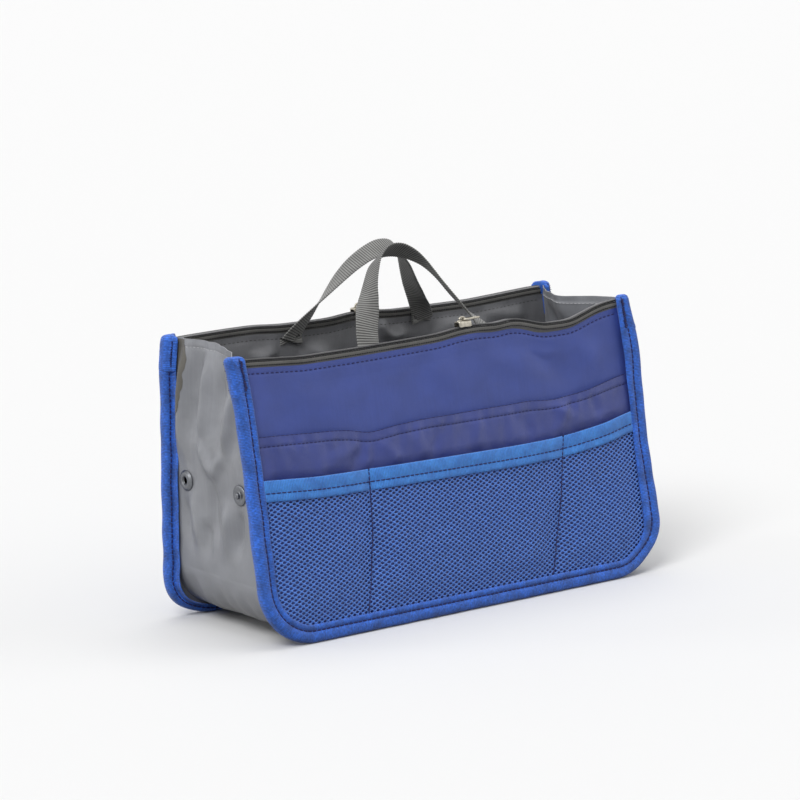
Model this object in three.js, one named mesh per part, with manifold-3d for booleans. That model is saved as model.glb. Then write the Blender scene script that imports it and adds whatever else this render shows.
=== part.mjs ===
// Handbag organiser insert with mesh pockets, in millimetres, +Z up.
// Two flat zipped pocket walls stand face to face, joined by folding gussets and a folding bottom strip.
// X runs along the bag, Y from the front wall to the rear wall, and Z = 0 is the table.

import * as THREE from 'three';
import Module from 'manifold-3d';
import * as BufferGeometryUtils from 'three/addons/utils/BufferGeometryUtils.js';

const wasm = await Module();
wasm.setup();

// Walls
const wallLength = 290;
const wallHeight = 167.5;
const cornerRadius = 34;
const bagDepth = 99;
const wallFoot = bagDepth / 2;
const frontLean = THREE.MathUtils.degToRad(9.5);
const rearLean = THREE.MathUtils.degToRad(0.5);

// Cloth and the play that neighbouring layers keep
const cloth = 0.4;
const play = 0.3;
const pocketDepth = 1.0;

// Edge binding: a tape folded over the wall's edge
const tapeThickness = 0.5;
const edgeFold = 0.9;
const bindingFace = 10.6;
const flangeWidth = 6.2;
const bindingLip = 4.4;
const footCut = 0.3;

// Pockets on the outside of each wall
const slipPocketTop = 121;
const meshBandTop = 97;
const meshBandHeight = 12.5;
const meshUnderBand = 10;

// Zip along each wall's top
const coilWidth = 1.9;
const coilHeight = 1.3;
const coilSplit = 0.3;
const coilBelowTop = 1;
const zipEndInset = 8.5;
const zipTapeStrip = 3.7;
const zipTapeBehind = 10.5;

// Slider and its wire pull
const sliderLength = 10;
const sliderPlate = 1;
const sliderFlange = 0.8;
const sliderSkirt = 2.2;
const bailLength = 5;
const bailWidth = 1.6;
const bailBar = 1;
const pullWire = 1.2;
const pullLength = 11;
const pullWidth = 7;
const pullCorner = 2;
const frontSliderX = 21.5;
const rearSliderX = -3;

// Webbing handles
const webbingWidth = 15;
const webbingThickness = 1.2;
const frontHandleX = [-44, 44];
const rearHandleX = [-55, 42];
const anchorHeight = 14;
const anchorBelowTop = 4.5;
const rootLength = 5.3;
const frontHandleHeight = 55;
const rearHandleLower = 3;
const rearHandleHeight = frontHandleHeight - rearHandleLower;
const frontHandleLean = THREE.MathUtils.degToRad(18.4);
const rearHandleLean = THREE.MathUtils.degToRad(23.1);

// Gussets and bottom: the seams that they fold about, and the room left beside each seam
const seamIn = 0.8;
const seamRoom = 0.5;
const creaseRoom = 0.25;
const frontBottomRoom = 1.2;
const gussetBelowTop = 2;
const gussetHem = 9;
const gussetHemExtra = 0.4;
const bottomReach = 92.8;

// Snaps on the gussets
const snapFromSeam = 12.5;
const snapHeight = 85;
const snapRadius = 6.1;
const snapRing = 1.8;
const snapCapRadius = 5.5;
const snapCap = 0.8;
const snapPost = 1.5;
const snapStudRadius = 2;
const snapStudHeight = 3;
const snapDisc = 0.9;

// Layers of a wall, as distances outward from its middle plane
const halfPocket = pocketDepth / 2;
const tapeOut = halfPocket + cloth;
const panelIn = tapeOut + play;
const panelOut = panelIn + cloth;
const slipIn = panelOut + play;
const meshIn = slipIn + cloth + play;
const bandIn = meshIn + cloth + play;
const leafIn = bandIn + cloth + play;
const leafOut = leafIn + tapeThickness;
const backIn = panelOut + play;
const backOut = backIn + tapeThickness;
const seamOffset = panelOut + seamIn;
const layerInset = edgeFold + play;

// Heights in a wall
const coilTop = wallHeight - coilBelowTop;
const coilFoot = coilTop - coilHeight;
const tapeTop = coilFoot - play;
const tapeKnee = tapeTop - zipTapeStrip;
const panelTop = tapeKnee;
const chainHalf = coilSplit / 2 + coilWidth;
const anchorTop = wallHeight - anchorBelowTop;
const anchorThickness = 2 * webbingThickness;
const strapPivot = anchorTop + play;
const sliderOut = chainHalf + play + sliderFlange + 0.25;
const strapOffset = sliderOut + play;

// Materials
const cloths = {
  nylon: new THREE.MeshStandardMaterial({ color: 0x454f8f, roughness: 0.8 }),
  lining: new THREE.MeshStandardMaterial({ color: 0x58585c, roughness: 0.85 }),
  mesh: new THREE.MeshStandardMaterial({ color: 0x3a4fa8, roughness: 0.9 }),
  band: new THREE.MeshStandardMaterial({ color: 0x4482dc, roughness: 0.75 }),
  binding: new THREE.MeshStandardMaterial({ color: 0x3264d2, roughness: 0.75 }),
  gusset: new THREE.MeshStandardMaterial({ color: 0x96989c, roughness: 0.8 }),
  webbing: new THREE.MeshStandardMaterial({ color: 0x828282, roughness: 0.9 }),
  zipTape: new THREE.MeshStandardMaterial({ color: 0x77797c, roughness: 0.85 }),
  coil: new THREE.MeshStandardMaterial({ color: 0x4a4b50, roughness: 0.5 }),
};
const sliderMetal = { color: 0xb9b39a, roughness: 0.3, metalness: 1 };
const snapMetal = { color: 0x6f7073, roughness: 0.35, metalness: 1 };

// Volume with its sign, which tells whether the faces point out
function signedVolume(geometry) {
  const flat = geometry.index ? geometry.toNonIndexed() : geometry;
  const position = flat.getAttribute('position');
  const a = new THREE.Vector3();
  const b = new THREE.Vector3();
  const c = new THREE.Vector3();
  let sum = 0;
  for (let i = 0; i < position.count; i += 3) {
    a.fromBufferAttribute(position, i);
    b.fromBufferAttribute(position, i + 1);
    c.fromBufferAttribute(position, i + 2);
    sum += a.dot(b.cross(c)) / 6;
  }
  return sum;
}

// A closed geometry with merged corners and its faces pointing out
function closed(geometry) {
  const bare = geometry.clone();
  bare.deleteAttribute('normal');
  bare.deleteAttribute('uv');
  const merged = BufferGeometryUtils.mergeVertices(bare, 1e-4);
  if (signedVolume(merged) < 0) {
    const index = merged.index.array;
    for (let i = 0; i < index.length; i += 3) {
      const first = index[i];
      index[i] = index[i + 1];
      index[i + 1] = first;
    }
  }
  return merged;
}

function toManifold(geometry) {
  const merged = closed(geometry);
  return new wasm.Manifold(new wasm.Mesh({
    numProp: 3,
    vertProperties: new Float32Array(merged.getAttribute('position').array),
    triVerts: new Uint32Array(merged.index.array),
  }));
}

function fromManifold(manifold) {
  const mesh = manifold.getMesh();
  const geometry = new THREE.BufferGeometry();
  geometry.setAttribute('position', new THREE.BufferAttribute(new Float32Array(mesh.vertProperties), 3));
  geometry.setIndex(new THREE.BufferAttribute(new Uint32Array(mesh.triVerts), 1));
  return geometry;
}

function joined(first, ...others) {
  return fromManifold(others.reduce((sum, other) => sum.add(toManifold(other)), toManifold(first)));
}

function cut(first, ...others) {
  return fromManifold(others.reduce((rest, other) => rest.subtract(toManifold(other)), toManifold(first)));
}

function outline(points) {
  return new THREE.Shape(points.map(([x, y]) => new THREE.Vector2(x, y)));
}

// A plate standing in the X-Z plane, from y = near to y = near + thickness
function plate(shape, near, thickness) {
  const geometry = new THREE.ExtrudeGeometry(shape, { depth: thickness, bevelEnabled: false, curveSegments: 10 });
  geometry.rotateX(Math.PI / 2);
  geometry.translate(0, near + thickness, 0);
  return closed(geometry);
}

// A Y-Z outline drawn out along X, from x = from to x = to
function bar(shape, from, to) {
  const geometry = new THREE.ExtrudeGeometry(shape, { depth: to - from, bevelEnabled: false, curveSegments: 8 });
  const turn = new THREE.Matrix4().makeBasis(
    new THREE.Vector3(0, 1, 0),
    new THREE.Vector3(0, 0, 1),
    new THREE.Vector3(1, 0, 0),
  );
  geometry.applyMatrix4(turn);
  geometry.translate(from, 0, 0);
  return closed(geometry);
}

function rectangle(x0, x1, y0, y1) {
  return outline([[x0, y0], [x1, y0], [x1, y1], [x0, y1]]);
}

// A skin over rings of points, with both ends capped unless the rings close on themselves
function loft(rings, section, ringsClose = false) {
  const count = section.length;
  const corners = rings.flat();
  const positions = new Float32Array(corners.length * 3);
  corners.forEach((corner, i) => corner.toArray(positions, i * 3));
  const index = [];
  const steps = ringsClose ? rings.length : rings.length - 1;
  for (let i = 0; i < steps; i += 1) {
    const here = i * count;
    const next = ((i + 1) % rings.length) * count;
    for (let j = 0; j < count; j += 1) {
      const k = (j + 1) % count;
      index.push(here + j, here + k, next + k);
      index.push(here + j, next + k, next + j);
    }
  }
  if (!ringsClose) {
    const last = (rings.length - 1) * count;
    const contour = section.map(([x, y]) => new THREE.Vector2(x, y));
    const flip = THREE.ShapeUtils.isClockWise(contour);
    for (const [a, b, c] of THREE.ShapeUtils.triangulateShape(contour, [])) {
      const near = flip ? [a, b, c] : [a, c, b];
      const far = flip ? [a, c, b] : [a, b, c];
      index.push(...near);
      index.push(...far.map((corner) => corner + last));
    }
  }
  const geometry = new THREE.BufferGeometry();
  geometry.setAttribute('position', new THREE.BufferAttribute(positions, 3));
  geometry.setIndex(index);
  return closed(geometry);
}

function named(name, geometry, material) {
  const mesh = new THREE.Mesh(geometry, material.clone());
  mesh.name = name;
  return mesh;
}

// The wall's outline, drawn in from its edge, with an open top at the given height
function wallOutline(inset, top) {
  const half = wallLength / 2 - inset;
  const radius = cornerRadius - inset;
  const shape = new THREE.Shape();
  shape.moveTo(-half, top);
  shape.lineTo(-half, inset + radius);
  shape.absarc(-half + radius, inset + radius, radius, Math.PI, 1.5 * Math.PI, false);
  shape.lineTo(half - radius, inset);
  shape.absarc(half - radius, inset + radius, radius, 1.5 * Math.PI, 2 * Math.PI, false);
  shape.lineTo(half, top);
  shape.closePath();
  return shape;
}

// The binding's section as inward distance from the wall's edge and outward distance from its middle
function bindingSection() {
  const roll = 0.6;
  const lipIn = flangeWidth - play;
  const lipOut = lipIn - tapeThickness;
  return [
    [bindingFace, leafIn],
    [bindingFace, leafOut],
    [roll, leafOut],
    [0, leafOut - roll],
    [0, roll - backOut],
    [roll, -backOut],
    [lipOut, -backOut],
    [lipOut, -backOut - bindingLip],
    [lipIn, -backOut - bindingLip],
    [lipIn, -backIn],
    [edgeFold, -backIn],
    [edgeFold, leafIn],
  ];
}

// The binding follows the wall's edge down one side, round the two bottom corners and up the other side
function bindingSweep() {
  const half = wallLength / 2;
  const arcSteps = 10;
  const section = bindingSection();
  const stations = [[new THREE.Vector2(-half, wallHeight), new THREE.Vector2(1, 0)]];
  for (const side of [-1, 1]) {
    const centre = new THREE.Vector2(side * (half - cornerRadius), cornerRadius);
    for (let i = 0; i <= arcSteps; i += 1) {
      const start = side < 0 ? Math.PI : 1.5 * Math.PI;
      const angle = start + (i / arcSteps) * (Math.PI / 2);
      const out = new THREE.Vector2(Math.cos(angle), Math.sin(angle));
      stations.push([centre.clone().addScaledVector(out, cornerRadius), out.clone().negate()]);
    }
  }
  stations.push([new THREE.Vector2(half, wallHeight), new THREE.Vector2(-1, 0)]);
  const rings = stations.map(([edge, inward]) => section.map(([depth, out]) => new THREE.Vector3(
    edge.x + inward.x * depth,
    out,
    edge.y + inward.y * depth,
  )));
  return loft(rings, section);
}

// One half of the zip's tape: tucked under the coil, then down behind the panel's folded edge
function zipTapeOutline(side) {
  const shoulder = chainHalf + 0.15;
  const foot = panelTop - zipTapeBehind;
  const points = [
    [coilSplit / 2 + 0.2, tapeTop],
    [shoulder, tapeTop],
    [tapeOut, tapeKnee],
    [tapeOut, foot],
    [halfPocket, foot],
    [halfPocket, tapeKnee + 0.1],
    [shoulder - cloth - 0.25, tapeTop - cloth],
    [coilSplit / 2 + 0.2, tapeTop - cloth],
  ];
  return outline(points.map(([out, height]) => [side * out, height]));
}

// Zip slider: a saddle over the coil, with a bail on top for the pull
function sliderGeometry() {
  const out = sliderOut;
  const inner = out - sliderFlange;
  const under = coilTop + play;
  const top = under + sliderPlate;
  const skirt = coilFoot - sliderSkirt + cloth;
  const saddle = outline([
    [-out, skirt],
    [-inner, skirt],
    [-inner, under],
    [inner, under],
    [inner, skirt],
    [out, skirt],
    [out, top - 0.4],
    [out - 0.4, top],
    [-out + 0.4, top],
    [-out, top - 0.4],
  ]);
  const body = bar(saddle, -sliderLength / 2, sliderLength / 2);
  const eye = pullWire + 2 * play;
  const bail = outline([
    [-bailLength / 2, top - 0.1],
    [-eye / 2, top - 0.1],
    [-eye / 2, top + eye],
    [eye / 2, top + eye],
    [eye / 2, top - 0.1],
    [bailLength / 2, top - 0.1],
    [eye / 2 + bailBar / 2, top + eye + bailBar],
    [-eye / 2 - bailBar / 2, top + eye + bailBar],
  ]);
  return joined(body, plate(bail, -bailWidth / 2, bailWidth));
}

const pullPivot = coilTop + play + sliderPlate + play + pullWire / 2;

// Wire pull: a long ring whose near end passes through the bail; it lies along the given direction
function pullGeometry(direction) {
  const section = [];
  const sides = 6;
  for (let i = 0; i < sides; i += 1) {
    const angle = (i / sides) * 2 * Math.PI;
    section.push([Math.cos(angle) * pullWire / 2, Math.sin(angle) * pullWire / 2]);
  }
  const half = pullWidth / 2;
  const arc = 3;
  const corners = [
    [pullCorner, -half + pullCorner, 1.0],
    [pullLength - pullCorner, -half + pullCorner, 1.5],
    [pullLength - pullCorner, half - pullCorner, 0],
    [pullCorner, half - pullCorner, 0.5],
  ];
  const rings = [];
  for (const [x, y, turn] of corners) {
    for (let i = 0; i <= arc; i += 1) {
      const angle = (turn + 0.5 * (i / arc)) * Math.PI;
      const out = new THREE.Vector3(Math.cos(angle) * direction, Math.sin(angle), 0);
      const centre = new THREE.Vector3(x * direction, y, pullPivot).addScaledVector(out, pullCorner);
      rings.push(section.map(([side, up]) => centre.clone().addScaledVector(out, side).add(new THREE.Vector3(0, 0, up))));
    }
  }
  return loft(rings, section, true);
}

// A webbing handle above its two roots: it rises flat to the wall and turns to lie flat on top
// Its outward face starts at y = 0, on the line where the webbing hinges to swing outward
function handleArch(x0, x1, height) {
  const middle = -webbingThickness / 2;
  const curve = new THREE.CubicBezierCurve3(
    new THREE.Vector3(x0, middle, rootLength + play),
    new THREE.Vector3(x0, middle, height / 0.75),
    new THREE.Vector3(x1, middle, height / 0.75),
    new THREE.Vector3(x1, middle, rootLength + play),
  );
  const steps = 36;
  const section = [[-1, -1], [1, -1], [1, 1], [-1, 1]];
  const across = new THREE.Vector3(0, 1, 0);
  const rings = [];
  for (let i = 0; i <= steps; i += 1) {
    const t = i / steps;
    const tangent = curve.getTangent(t);
    const inPlane = new THREE.Vector3().crossVectors(across, tangent).normalize();
    const blend = THREE.MathUtils.smoothstep(Math.min(t, 1 - t), 0.04, 0.42);
    const turn = (t < 0.5 ? blend : 2 - blend) * Math.PI / 2;
    const wide = inPlane.clone().multiplyScalar(Math.cos(turn)).addScaledVector(across, Math.sin(turn));
    const thin = new THREE.Vector3().crossVectors(tangent, wide).normalize();
    rings.push(section.map(([w, h]) => curve.getPoint(t)
      .addScaledVector(wide, w * webbingWidth / 2)
      .addScaledVector(thin, h * webbingThickness / 2)));
  }
  return loft(rings, section);
}

// One wall with its pockets, binding, zip and handle, built upright with its outer side towards +Y
function wall(prefix, front) {
  const lean = front ? frontLean : rearLean;
  const facing = front ? -1 : 1;
  const half = wallLength / 2 - layerInset;
  const zipHalf = wallLength / 2 - zipEndInset;
  const upright = new THREE.Group();
  const add = (name, geometry, material) => {
    const mesh = named(`${prefix}_${name}`, geometry, material);
    upright.add(mesh);
    return mesh;
  };

  add('outer_panel', plate(wallOutline(layerInset, panelTop), panelIn, cloth), cloths.nylon);
  add('lining_panel', plate(wallOutline(layerInset, panelTop), -panelOut, cloth), cloths.lining);
  add('slip_pocket', plate(wallOutline(layerInset, slipPocketTop), slipIn, cloth), cloths.nylon);
  const meshTop = meshBandTop - meshBandHeight + meshUnderBand;
  add('mesh_pocket', plate(wallOutline(layerInset, meshTop), meshIn, cloth), cloths.mesh);
  const band = rectangle(-half, half, meshBandTop - meshBandHeight, meshBandTop);
  add('mesh_band', plate(band, bandIn, cloth), cloths.band);

  const floorDepth = 4 * flangeWidth;
  const floorCut = new THREE.BoxGeometry(1.1 * wallLength, 2 * bagDepth / 3, floorDepth);
  floorCut.translate(0, 0, footCut - floorDepth / 2);
  floorCut.rotateX(-lean);
  add('edge_binding', cut(bindingSweep(), floorCut), cloths.binding);

  for (const [name, side] of [['outer', 1], ['inner', -1]]) {
    add(`zip_tape_${name}`, bar(zipTapeOutline(side), -zipHalf, zipHalf), cloths.zipTape);
    const edges = [side * coilSplit / 2, side * chainHalf].sort((a, b) => a - b);
    add(`zip_coil_${name}`, bar(rectangle(...edges, coilFoot, coilTop), -zipHalf, zipHalf), cloths.coil);
  }

  const sliderX = facing * (front ? frontSliderX : rearSliderX);
  const slider = named(`${prefix}_zip_slider`, sliderGeometry(), new THREE.MeshStandardMaterial(sliderMetal));
  slider.position.x = sliderX;
  upright.add(slider);
  const pull = named(`${prefix}_zip_pull`, pullGeometry(facing), new THREE.MeshStandardMaterial(sliderMetal));
  pull.position.x = sliderX;
  upright.add(pull);

  const handleX = (front ? frontHandleX : rearHandleX).map((x) => facing * x);
  const handleNames = ['left', 'right'];
  const strap = new THREE.Group();
  strap.position.set(0, -strapOffset, strapPivot);
  strap.rotation.x = front ? frontHandleLean : rearHandleLean;
  upright.add(strap);
  handleX.forEach((x, i) => {
    const edges = [x - webbingWidth / 2, x + webbingWidth / 2];
    const anchorNear = -panelOut - play - anchorThickness;
    const anchor = rectangle(...edges, anchorTop - anchorHeight, anchorTop);
    add(`handle_anchor_${handleNames[i]}`, plate(anchor, anchorNear, anchorThickness), cloths.webbing);
    const root = plate(rectangle(...edges, play, rootLength), -webbingThickness, webbingThickness);
    strap.add(named(`${prefix}_handle_root_${handleNames[i]}`, root, cloths.webbing));
  });
  const height = front ? frontHandleHeight : rearHandleHeight;
  strap.add(named(`${prefix}_handle`, handleArch(...handleX, height), cloths.webbing));

  upright.rotation.x = lean;
  const placed = new THREE.Group();
  placed.add(upright);
  placed.rotation.z = front ? Math.PI : 0;
  placed.position.set(0, facing * wallFoot, -footCut);
  return placed;
}

// A place in a wall, given outward from its middle and up along it, as world Y and Z
function wallPoint(front, out, up) {
  const lean = front ? frontLean : rearLean;
  const facing = front ? -1 : 1;
  return new THREE.Vector2(
    facing * (wallFoot + out * Math.cos(lean) - up * Math.sin(lean)),
    -footCut + out * Math.sin(lean) + up * Math.cos(lean),
  );
}

// The seam lines lean towards each other, and the crease bisects them
const rearSeam = { point: wallPoint(false, -seamOffset, 0), slope: -Math.tan(rearLean) };
const frontSeam = { point: wallPoint(true, -seamOffset, 0), slope: Math.tan(frontLean) };
const lineY = (line, z) => line.point.x + (z - line.point.y) * line.slope;
const apexZ = (() => {
  const rise = lineY(rearSeam, 0) - lineY(frontSeam, 0);
  return rise / (frontSeam.slope - rearSeam.slope);
})();
const crease = {
  point: new THREE.Vector2(lineY(rearSeam, apexZ), apexZ),
  slope: Math.tan((frontLean - rearLean) / 2),
};
const seamX = wallLength / 2 - flangeWidth;

// Half of a side gusset, between a wall's seam and the crease
function gussetHalf(front, side) {
  const seam = front ? frontSeam : rearSeam;
  const inward = front ? 1 : -1;
  const low = cornerRadius + play;
  const rearTop = wallPoint(false, -seamOffset, wallHeight - gussetBelowTop);
  const frontTop = wallPoint(true, -seamOffset, wallHeight - gussetBelowTop);
  const topSlope = (rearTop.y - frontTop.y) / (rearTop.x - frontTop.x);
  const topAt = (y) => frontTop.y + (y - frontTop.x) * topSlope;
  const seamTop = front ? frontTop : rearTop;
  const creaseTop = topAt(lineY(crease, topAt(0)));
  const edge = (z) => lineY(seam, z) + inward * seamRoom;
  const fold = (z) => lineY(crease, z) - inward * creaseRoom;
  const face = (bottom, drop) => outline([
    [edge(bottom ?? seamTop.y - drop), bottom ?? seamTop.y - drop],
    [fold(bottom ?? creaseTop - drop), bottom ?? creaseTop - drop],
    [fold(creaseTop), creaseTop],
    [edge(seamTop.y), seamTop.y],
  ]);
  const whole = side > 0 ? [seamX - cloth, seamX] : [-seamX, -seamX + cloth];
  const deep = cloth + gussetHemExtra;
  const hem = side > 0 ? [seamX - deep, seamX] : [-seamX, -seamX + deep];
  const sheet = bar(face(low, 0), ...whole);
  const hole = new THREE.CylinderGeometry(snapPost + play, snapPost + play, 4 * deep, 24);
  hole.rotateZ(Math.PI / 2);
  const snap = snapPoint(front);
  hole.translate(side * seamX, snap.x, snap.y);
  return cut(joined(sheet, bar(face(null, gussetHem), ...hem)), hole);
}

function snapPoint(front) {
  const seam = front ? frontSeam : rearSeam;
  return new THREE.Vector2(lineY(seam, snapHeight) + (front ? 1 : -1) * snapFromSeam, snapHeight);
}

// A turned snap part, its profile given as radius and height above the gusset's face
function turned(profile) {
  const points = profile.map(([radius, height]) => new THREE.Vector2(radius, height));
  return closed(new THREE.LatheGeometry(points, 24));
}

// Snap parts sit on the gusset's outer face, and their caps hold them from inside through a hole
function snapParts(front, side) {
  const holeReach = cloth + play;
  const face = front
    ? turned([
      [0, snapStudHeight],
      [snapStudRadius - 0.4, snapStudHeight],
      [snapStudRadius, snapStudHeight - 0.4],
      [snapStudRadius, snapDisc],
      [snapRadius - 0.5, snapDisc],
      [snapRadius, snapDisc - 0.4],
      [snapRadius, 0],
      [snapPost + play, 0],
      [snapPost + play, 0.7],
      [0, 0.7],
    ])
    : turned([
      [snapStudRadius + play, 0],
      [snapStudRadius + play, snapRing - 0.3],
      [snapStudRadius + 0.7, snapRing],
      [snapRadius - 1.2, snapRing],
      [snapRadius - 0.4, snapRing - 0.5],
      [snapRadius, 0.6],
      [snapRadius, 0],
      [snapStudRadius + play, 0],
    ]);
  const cap = turned([
    [0, snapCap],
    [snapCapRadius - 0.5, snapCap],
    [snapCapRadius, snapCap - 0.4],
    [snapCapRadius, 0],
    [snapPost, 0],
    [snapPost, -holeReach - 0.5],
    [0, -holeReach - 0.5],
  ]);
  const point = snapPoint(front);
  const where = side < 0 ? 'left' : 'right';
  const kind = front ? 'stud' : 'socket';
  const outer = named(`snap_${kind}_${where}`, face, new THREE.MeshStandardMaterial(snapMetal));
  outer.rotation.z = -side * Math.PI / 2;
  outer.position.set(side * (seamX + play), point.x, point.y);
  const inner = named(`snap_${kind}_cap_${where}`, cap, new THREE.MeshStandardMaterial(snapMetal));
  inner.rotation.z = side * Math.PI / 2;
  inner.position.set(side * (seamX - cloth - play), point.x, point.y);
  return [outer, inner];
}

// Half of the bottom strip, between a wall's bottom seam and the lengthwise crease
function bottomHalf(front) {
  const rearEdge = wallPoint(false, -seamOffset, flangeWidth);
  const frontEdge = wallPoint(true, -seamOffset, flangeWidth);
  const middle = rearEdge.clone().add(frontEdge).multiplyScalar(0.5);
  const along = rearEdge.clone().sub(frontEdge).normalize();
  const up = new THREE.Vector2(-along.y, along.x);
  const start = front
    ? frontEdge.clone().addScaledVector(along, frontBottomRoom)
    : rearEdge.clone().addScaledVector(along, -seamRoom);
  const end = middle.clone().addScaledVector(along, front ? -creaseRoom : creaseRoom);
  const lift = up.clone().multiplyScalar(cloth);
  const corners = [start, end, end.clone().add(lift), start.clone().add(lift)];
  return bar(new THREE.Shape(corners), -bottomReach, bottomReach);
}

// The strip that carries the bottom round a lower corner and up to the gusset
function cornerStrip(side) {
  const radius = cornerRadius - flangeWidth;
  const steps = 10;
  const stations = [[bottomReach + play, 0, 0]];
  for (let i = 0; i <= steps; i += 1) {
    const angle = (i / steps) * (Math.PI / 2);
    stations.push([seamX - radius + radius * Math.sin(angle), radius * (1 - Math.cos(angle)), angle]);
  }
  const section = [[0, 0], [1, 0], [1, 1], [0, 1]];
  const rings = stations.map(([x, rise, angle]) => section.map(([across, deep]) => {
    const height = flangeWidth + rise + deep * cloth * Math.cos(angle);
    const rear = wallPoint(false, -seamOffset - seamRoom, height);
    const front = wallPoint(true, -seamOffset - seamRoom, height);
    const spot = across ? rear : front;
    return new THREE.Vector3(side * (x - deep * cloth * Math.sin(angle)), spot.x, spot.y);
  }));
  return loft(rings, section);
}

const bag = new THREE.Group();
bag.add(wall('front', true));
bag.add(wall('rear', false));
for (const [where, side] of [['left', -1], ['right', 1]]) {
  bag.add(named(`gusset_${where}_rear`, gussetHalf(false, side), cloths.gusset));
  bag.add(named(`gusset_${where}_front`, gussetHalf(true, side), cloths.gusset));
  bag.add(named(`corner_strip_${where}`, cornerStrip(side), cloths.gusset));
  bag.add(...snapParts(false, side), ...snapParts(true, side));
}
bag.add(named('bottom_rear', bottomHalf(false), cloths.gusset));
bag.add(named('bottom_front', bottomHalf(true), cloths.gusset));

export default bag;
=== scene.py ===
import math

import bpy
import numpy as np
from mathutils import Matrix, Vector


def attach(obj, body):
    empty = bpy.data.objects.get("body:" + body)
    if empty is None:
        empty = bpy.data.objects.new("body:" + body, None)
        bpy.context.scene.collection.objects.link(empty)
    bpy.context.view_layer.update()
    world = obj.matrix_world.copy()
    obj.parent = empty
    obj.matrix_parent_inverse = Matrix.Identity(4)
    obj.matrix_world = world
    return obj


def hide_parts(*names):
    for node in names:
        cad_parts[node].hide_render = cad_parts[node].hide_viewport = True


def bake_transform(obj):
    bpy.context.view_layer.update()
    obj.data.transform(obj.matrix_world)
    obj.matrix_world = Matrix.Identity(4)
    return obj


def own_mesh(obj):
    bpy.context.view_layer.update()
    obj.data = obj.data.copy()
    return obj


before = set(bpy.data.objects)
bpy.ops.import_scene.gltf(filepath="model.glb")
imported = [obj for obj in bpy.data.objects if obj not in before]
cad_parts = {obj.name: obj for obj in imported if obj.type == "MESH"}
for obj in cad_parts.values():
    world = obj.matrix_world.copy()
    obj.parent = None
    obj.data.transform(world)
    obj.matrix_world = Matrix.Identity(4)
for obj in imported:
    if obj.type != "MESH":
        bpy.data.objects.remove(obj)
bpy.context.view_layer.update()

# Looks of a handbag organiser insert with mesh pockets
# Sizes are in millimetres, and make_mesh turns them into Blender's metres

MM = 0.001
SCENE = bpy.context.scene

# Walls: x is the world's X, out points away from the bag's inside, and up runs along the wall
WALL_LENGTH = 290.0
WALL_HEIGHT = 167.5
CORNER_RADIUS = 34.0
WALL_FOOT = 49.5
FOOT_CUT = 0.3
LEAN = {"front": math.radians(9.5), "rear": math.radians(0.5)}
FACING = {"front": -1, "rear": 1}

# Layers of a wall, as distances out from its middle
PANEL_OUT = 1.4
SLIP_OUT = 2.1
BACK_OUT = 2.4
CLOTH = 0.4

# Heights on a wall, places along it, and the least height over the floor
PANEL_TOP = 161.2
COIL_FOOT = 165.2
COIL_TOP = 166.5
SEAM_X = 138.8
SEAM_REACH = 134.0
LOWEST = 0.02
SIDE_NAME = {-1: "left", 1: "right"}

# Where a wall's edges begin to lean, by distance from its middle, and its top begins to sag, by height
LEAN_REACH = (96, 136)
SAG_REACH = (92, 158)
WALL_BOW = {"front": 2.2, "rear": 1.6}


def smoothstep(low, high, x):
    t = np.clip((np.asarray(x, float) - low) / (high - low), 0, 1)
    return t * t * (3 - 2 * t)


def soft_curve(knots, width):
    """A curve near knots (x, y), rounded over the given width."""
    xs, ys = zip(*knots)
    fine = np.arange(xs[0] - 4 * width, xs[-1] + 4 * width, width / 8)
    offsets = np.arange(-3 * width, 3 * width, width / 8)
    weights = np.exp(-0.5 * (offsets / width) ** 2)
    weights /= weights.sum()
    soft = sum(w * np.interp(fine + o, xs, ys) for w, o in zip(weights, offsets))
    return lambda x: np.interp(x, fine, soft)


def ridge(x, y, start, end, width, height):
    """A soft fold along a segment, which dies away at both ends."""
    ax, ay = start
    dx, dy = end[0] - ax, end[1] - ay
    t = ((x - ax) * dx + (y - ay) * dy) / (dx * dx + dy * dy)
    near = np.clip(t, 0, 1)
    away = (x - ax - near * dx) ** 2 + (y - ay - near * dy) ** 2
    ends = smoothstep(-0.1, 0.3, t) * (1 - smoothstep(0.65, 1.1, t))
    return height * np.exp(-away / width**2) * ends


def with_folds(out, x, y, folds):
    """A height with folds added, each given as ridge takes it: from and to, width, and height."""
    for fold in folds:
        out = out + ridge(x, y, *fold)
    return out


def bell(x, width):
    """1 at 0, and falling softly to 0 on both sides."""
    return np.exp(-((x / width) ** 2))


def together(*parts):
    """Values whose shapes fit each other, side by side in a last axis."""
    return np.stack(np.broadcast_arrays(*parts), axis=-1)


def unit(vectors):
    return vectors / np.linalg.norm(vectors, axis=-1, keepdims=True)


def circle(count):
    """Angles of points spaced evenly round a circle."""
    return np.arange(count) * 2 * math.pi / count


def between(rear, front, share):
    return rear * (1 - share) + front * share


def ripples(x, y, wave, seed, count=8):
    """Uneven gentle waves of about the given wavelength, between about -1 and 1."""
    draw = np.random.default_rng(seed)
    total = 0
    for _ in range(count):
        angle = draw.uniform(0, math.pi)
        k = 2 * math.pi / (wave * draw.uniform(0.7, 1.5))
        phase = draw.uniform(0, 2 * math.pi)
        total = total + np.sin(k * (math.cos(angle) * x + math.sin(angle) * y) + phase)
    return total / math.sqrt(2 * count)


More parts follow.
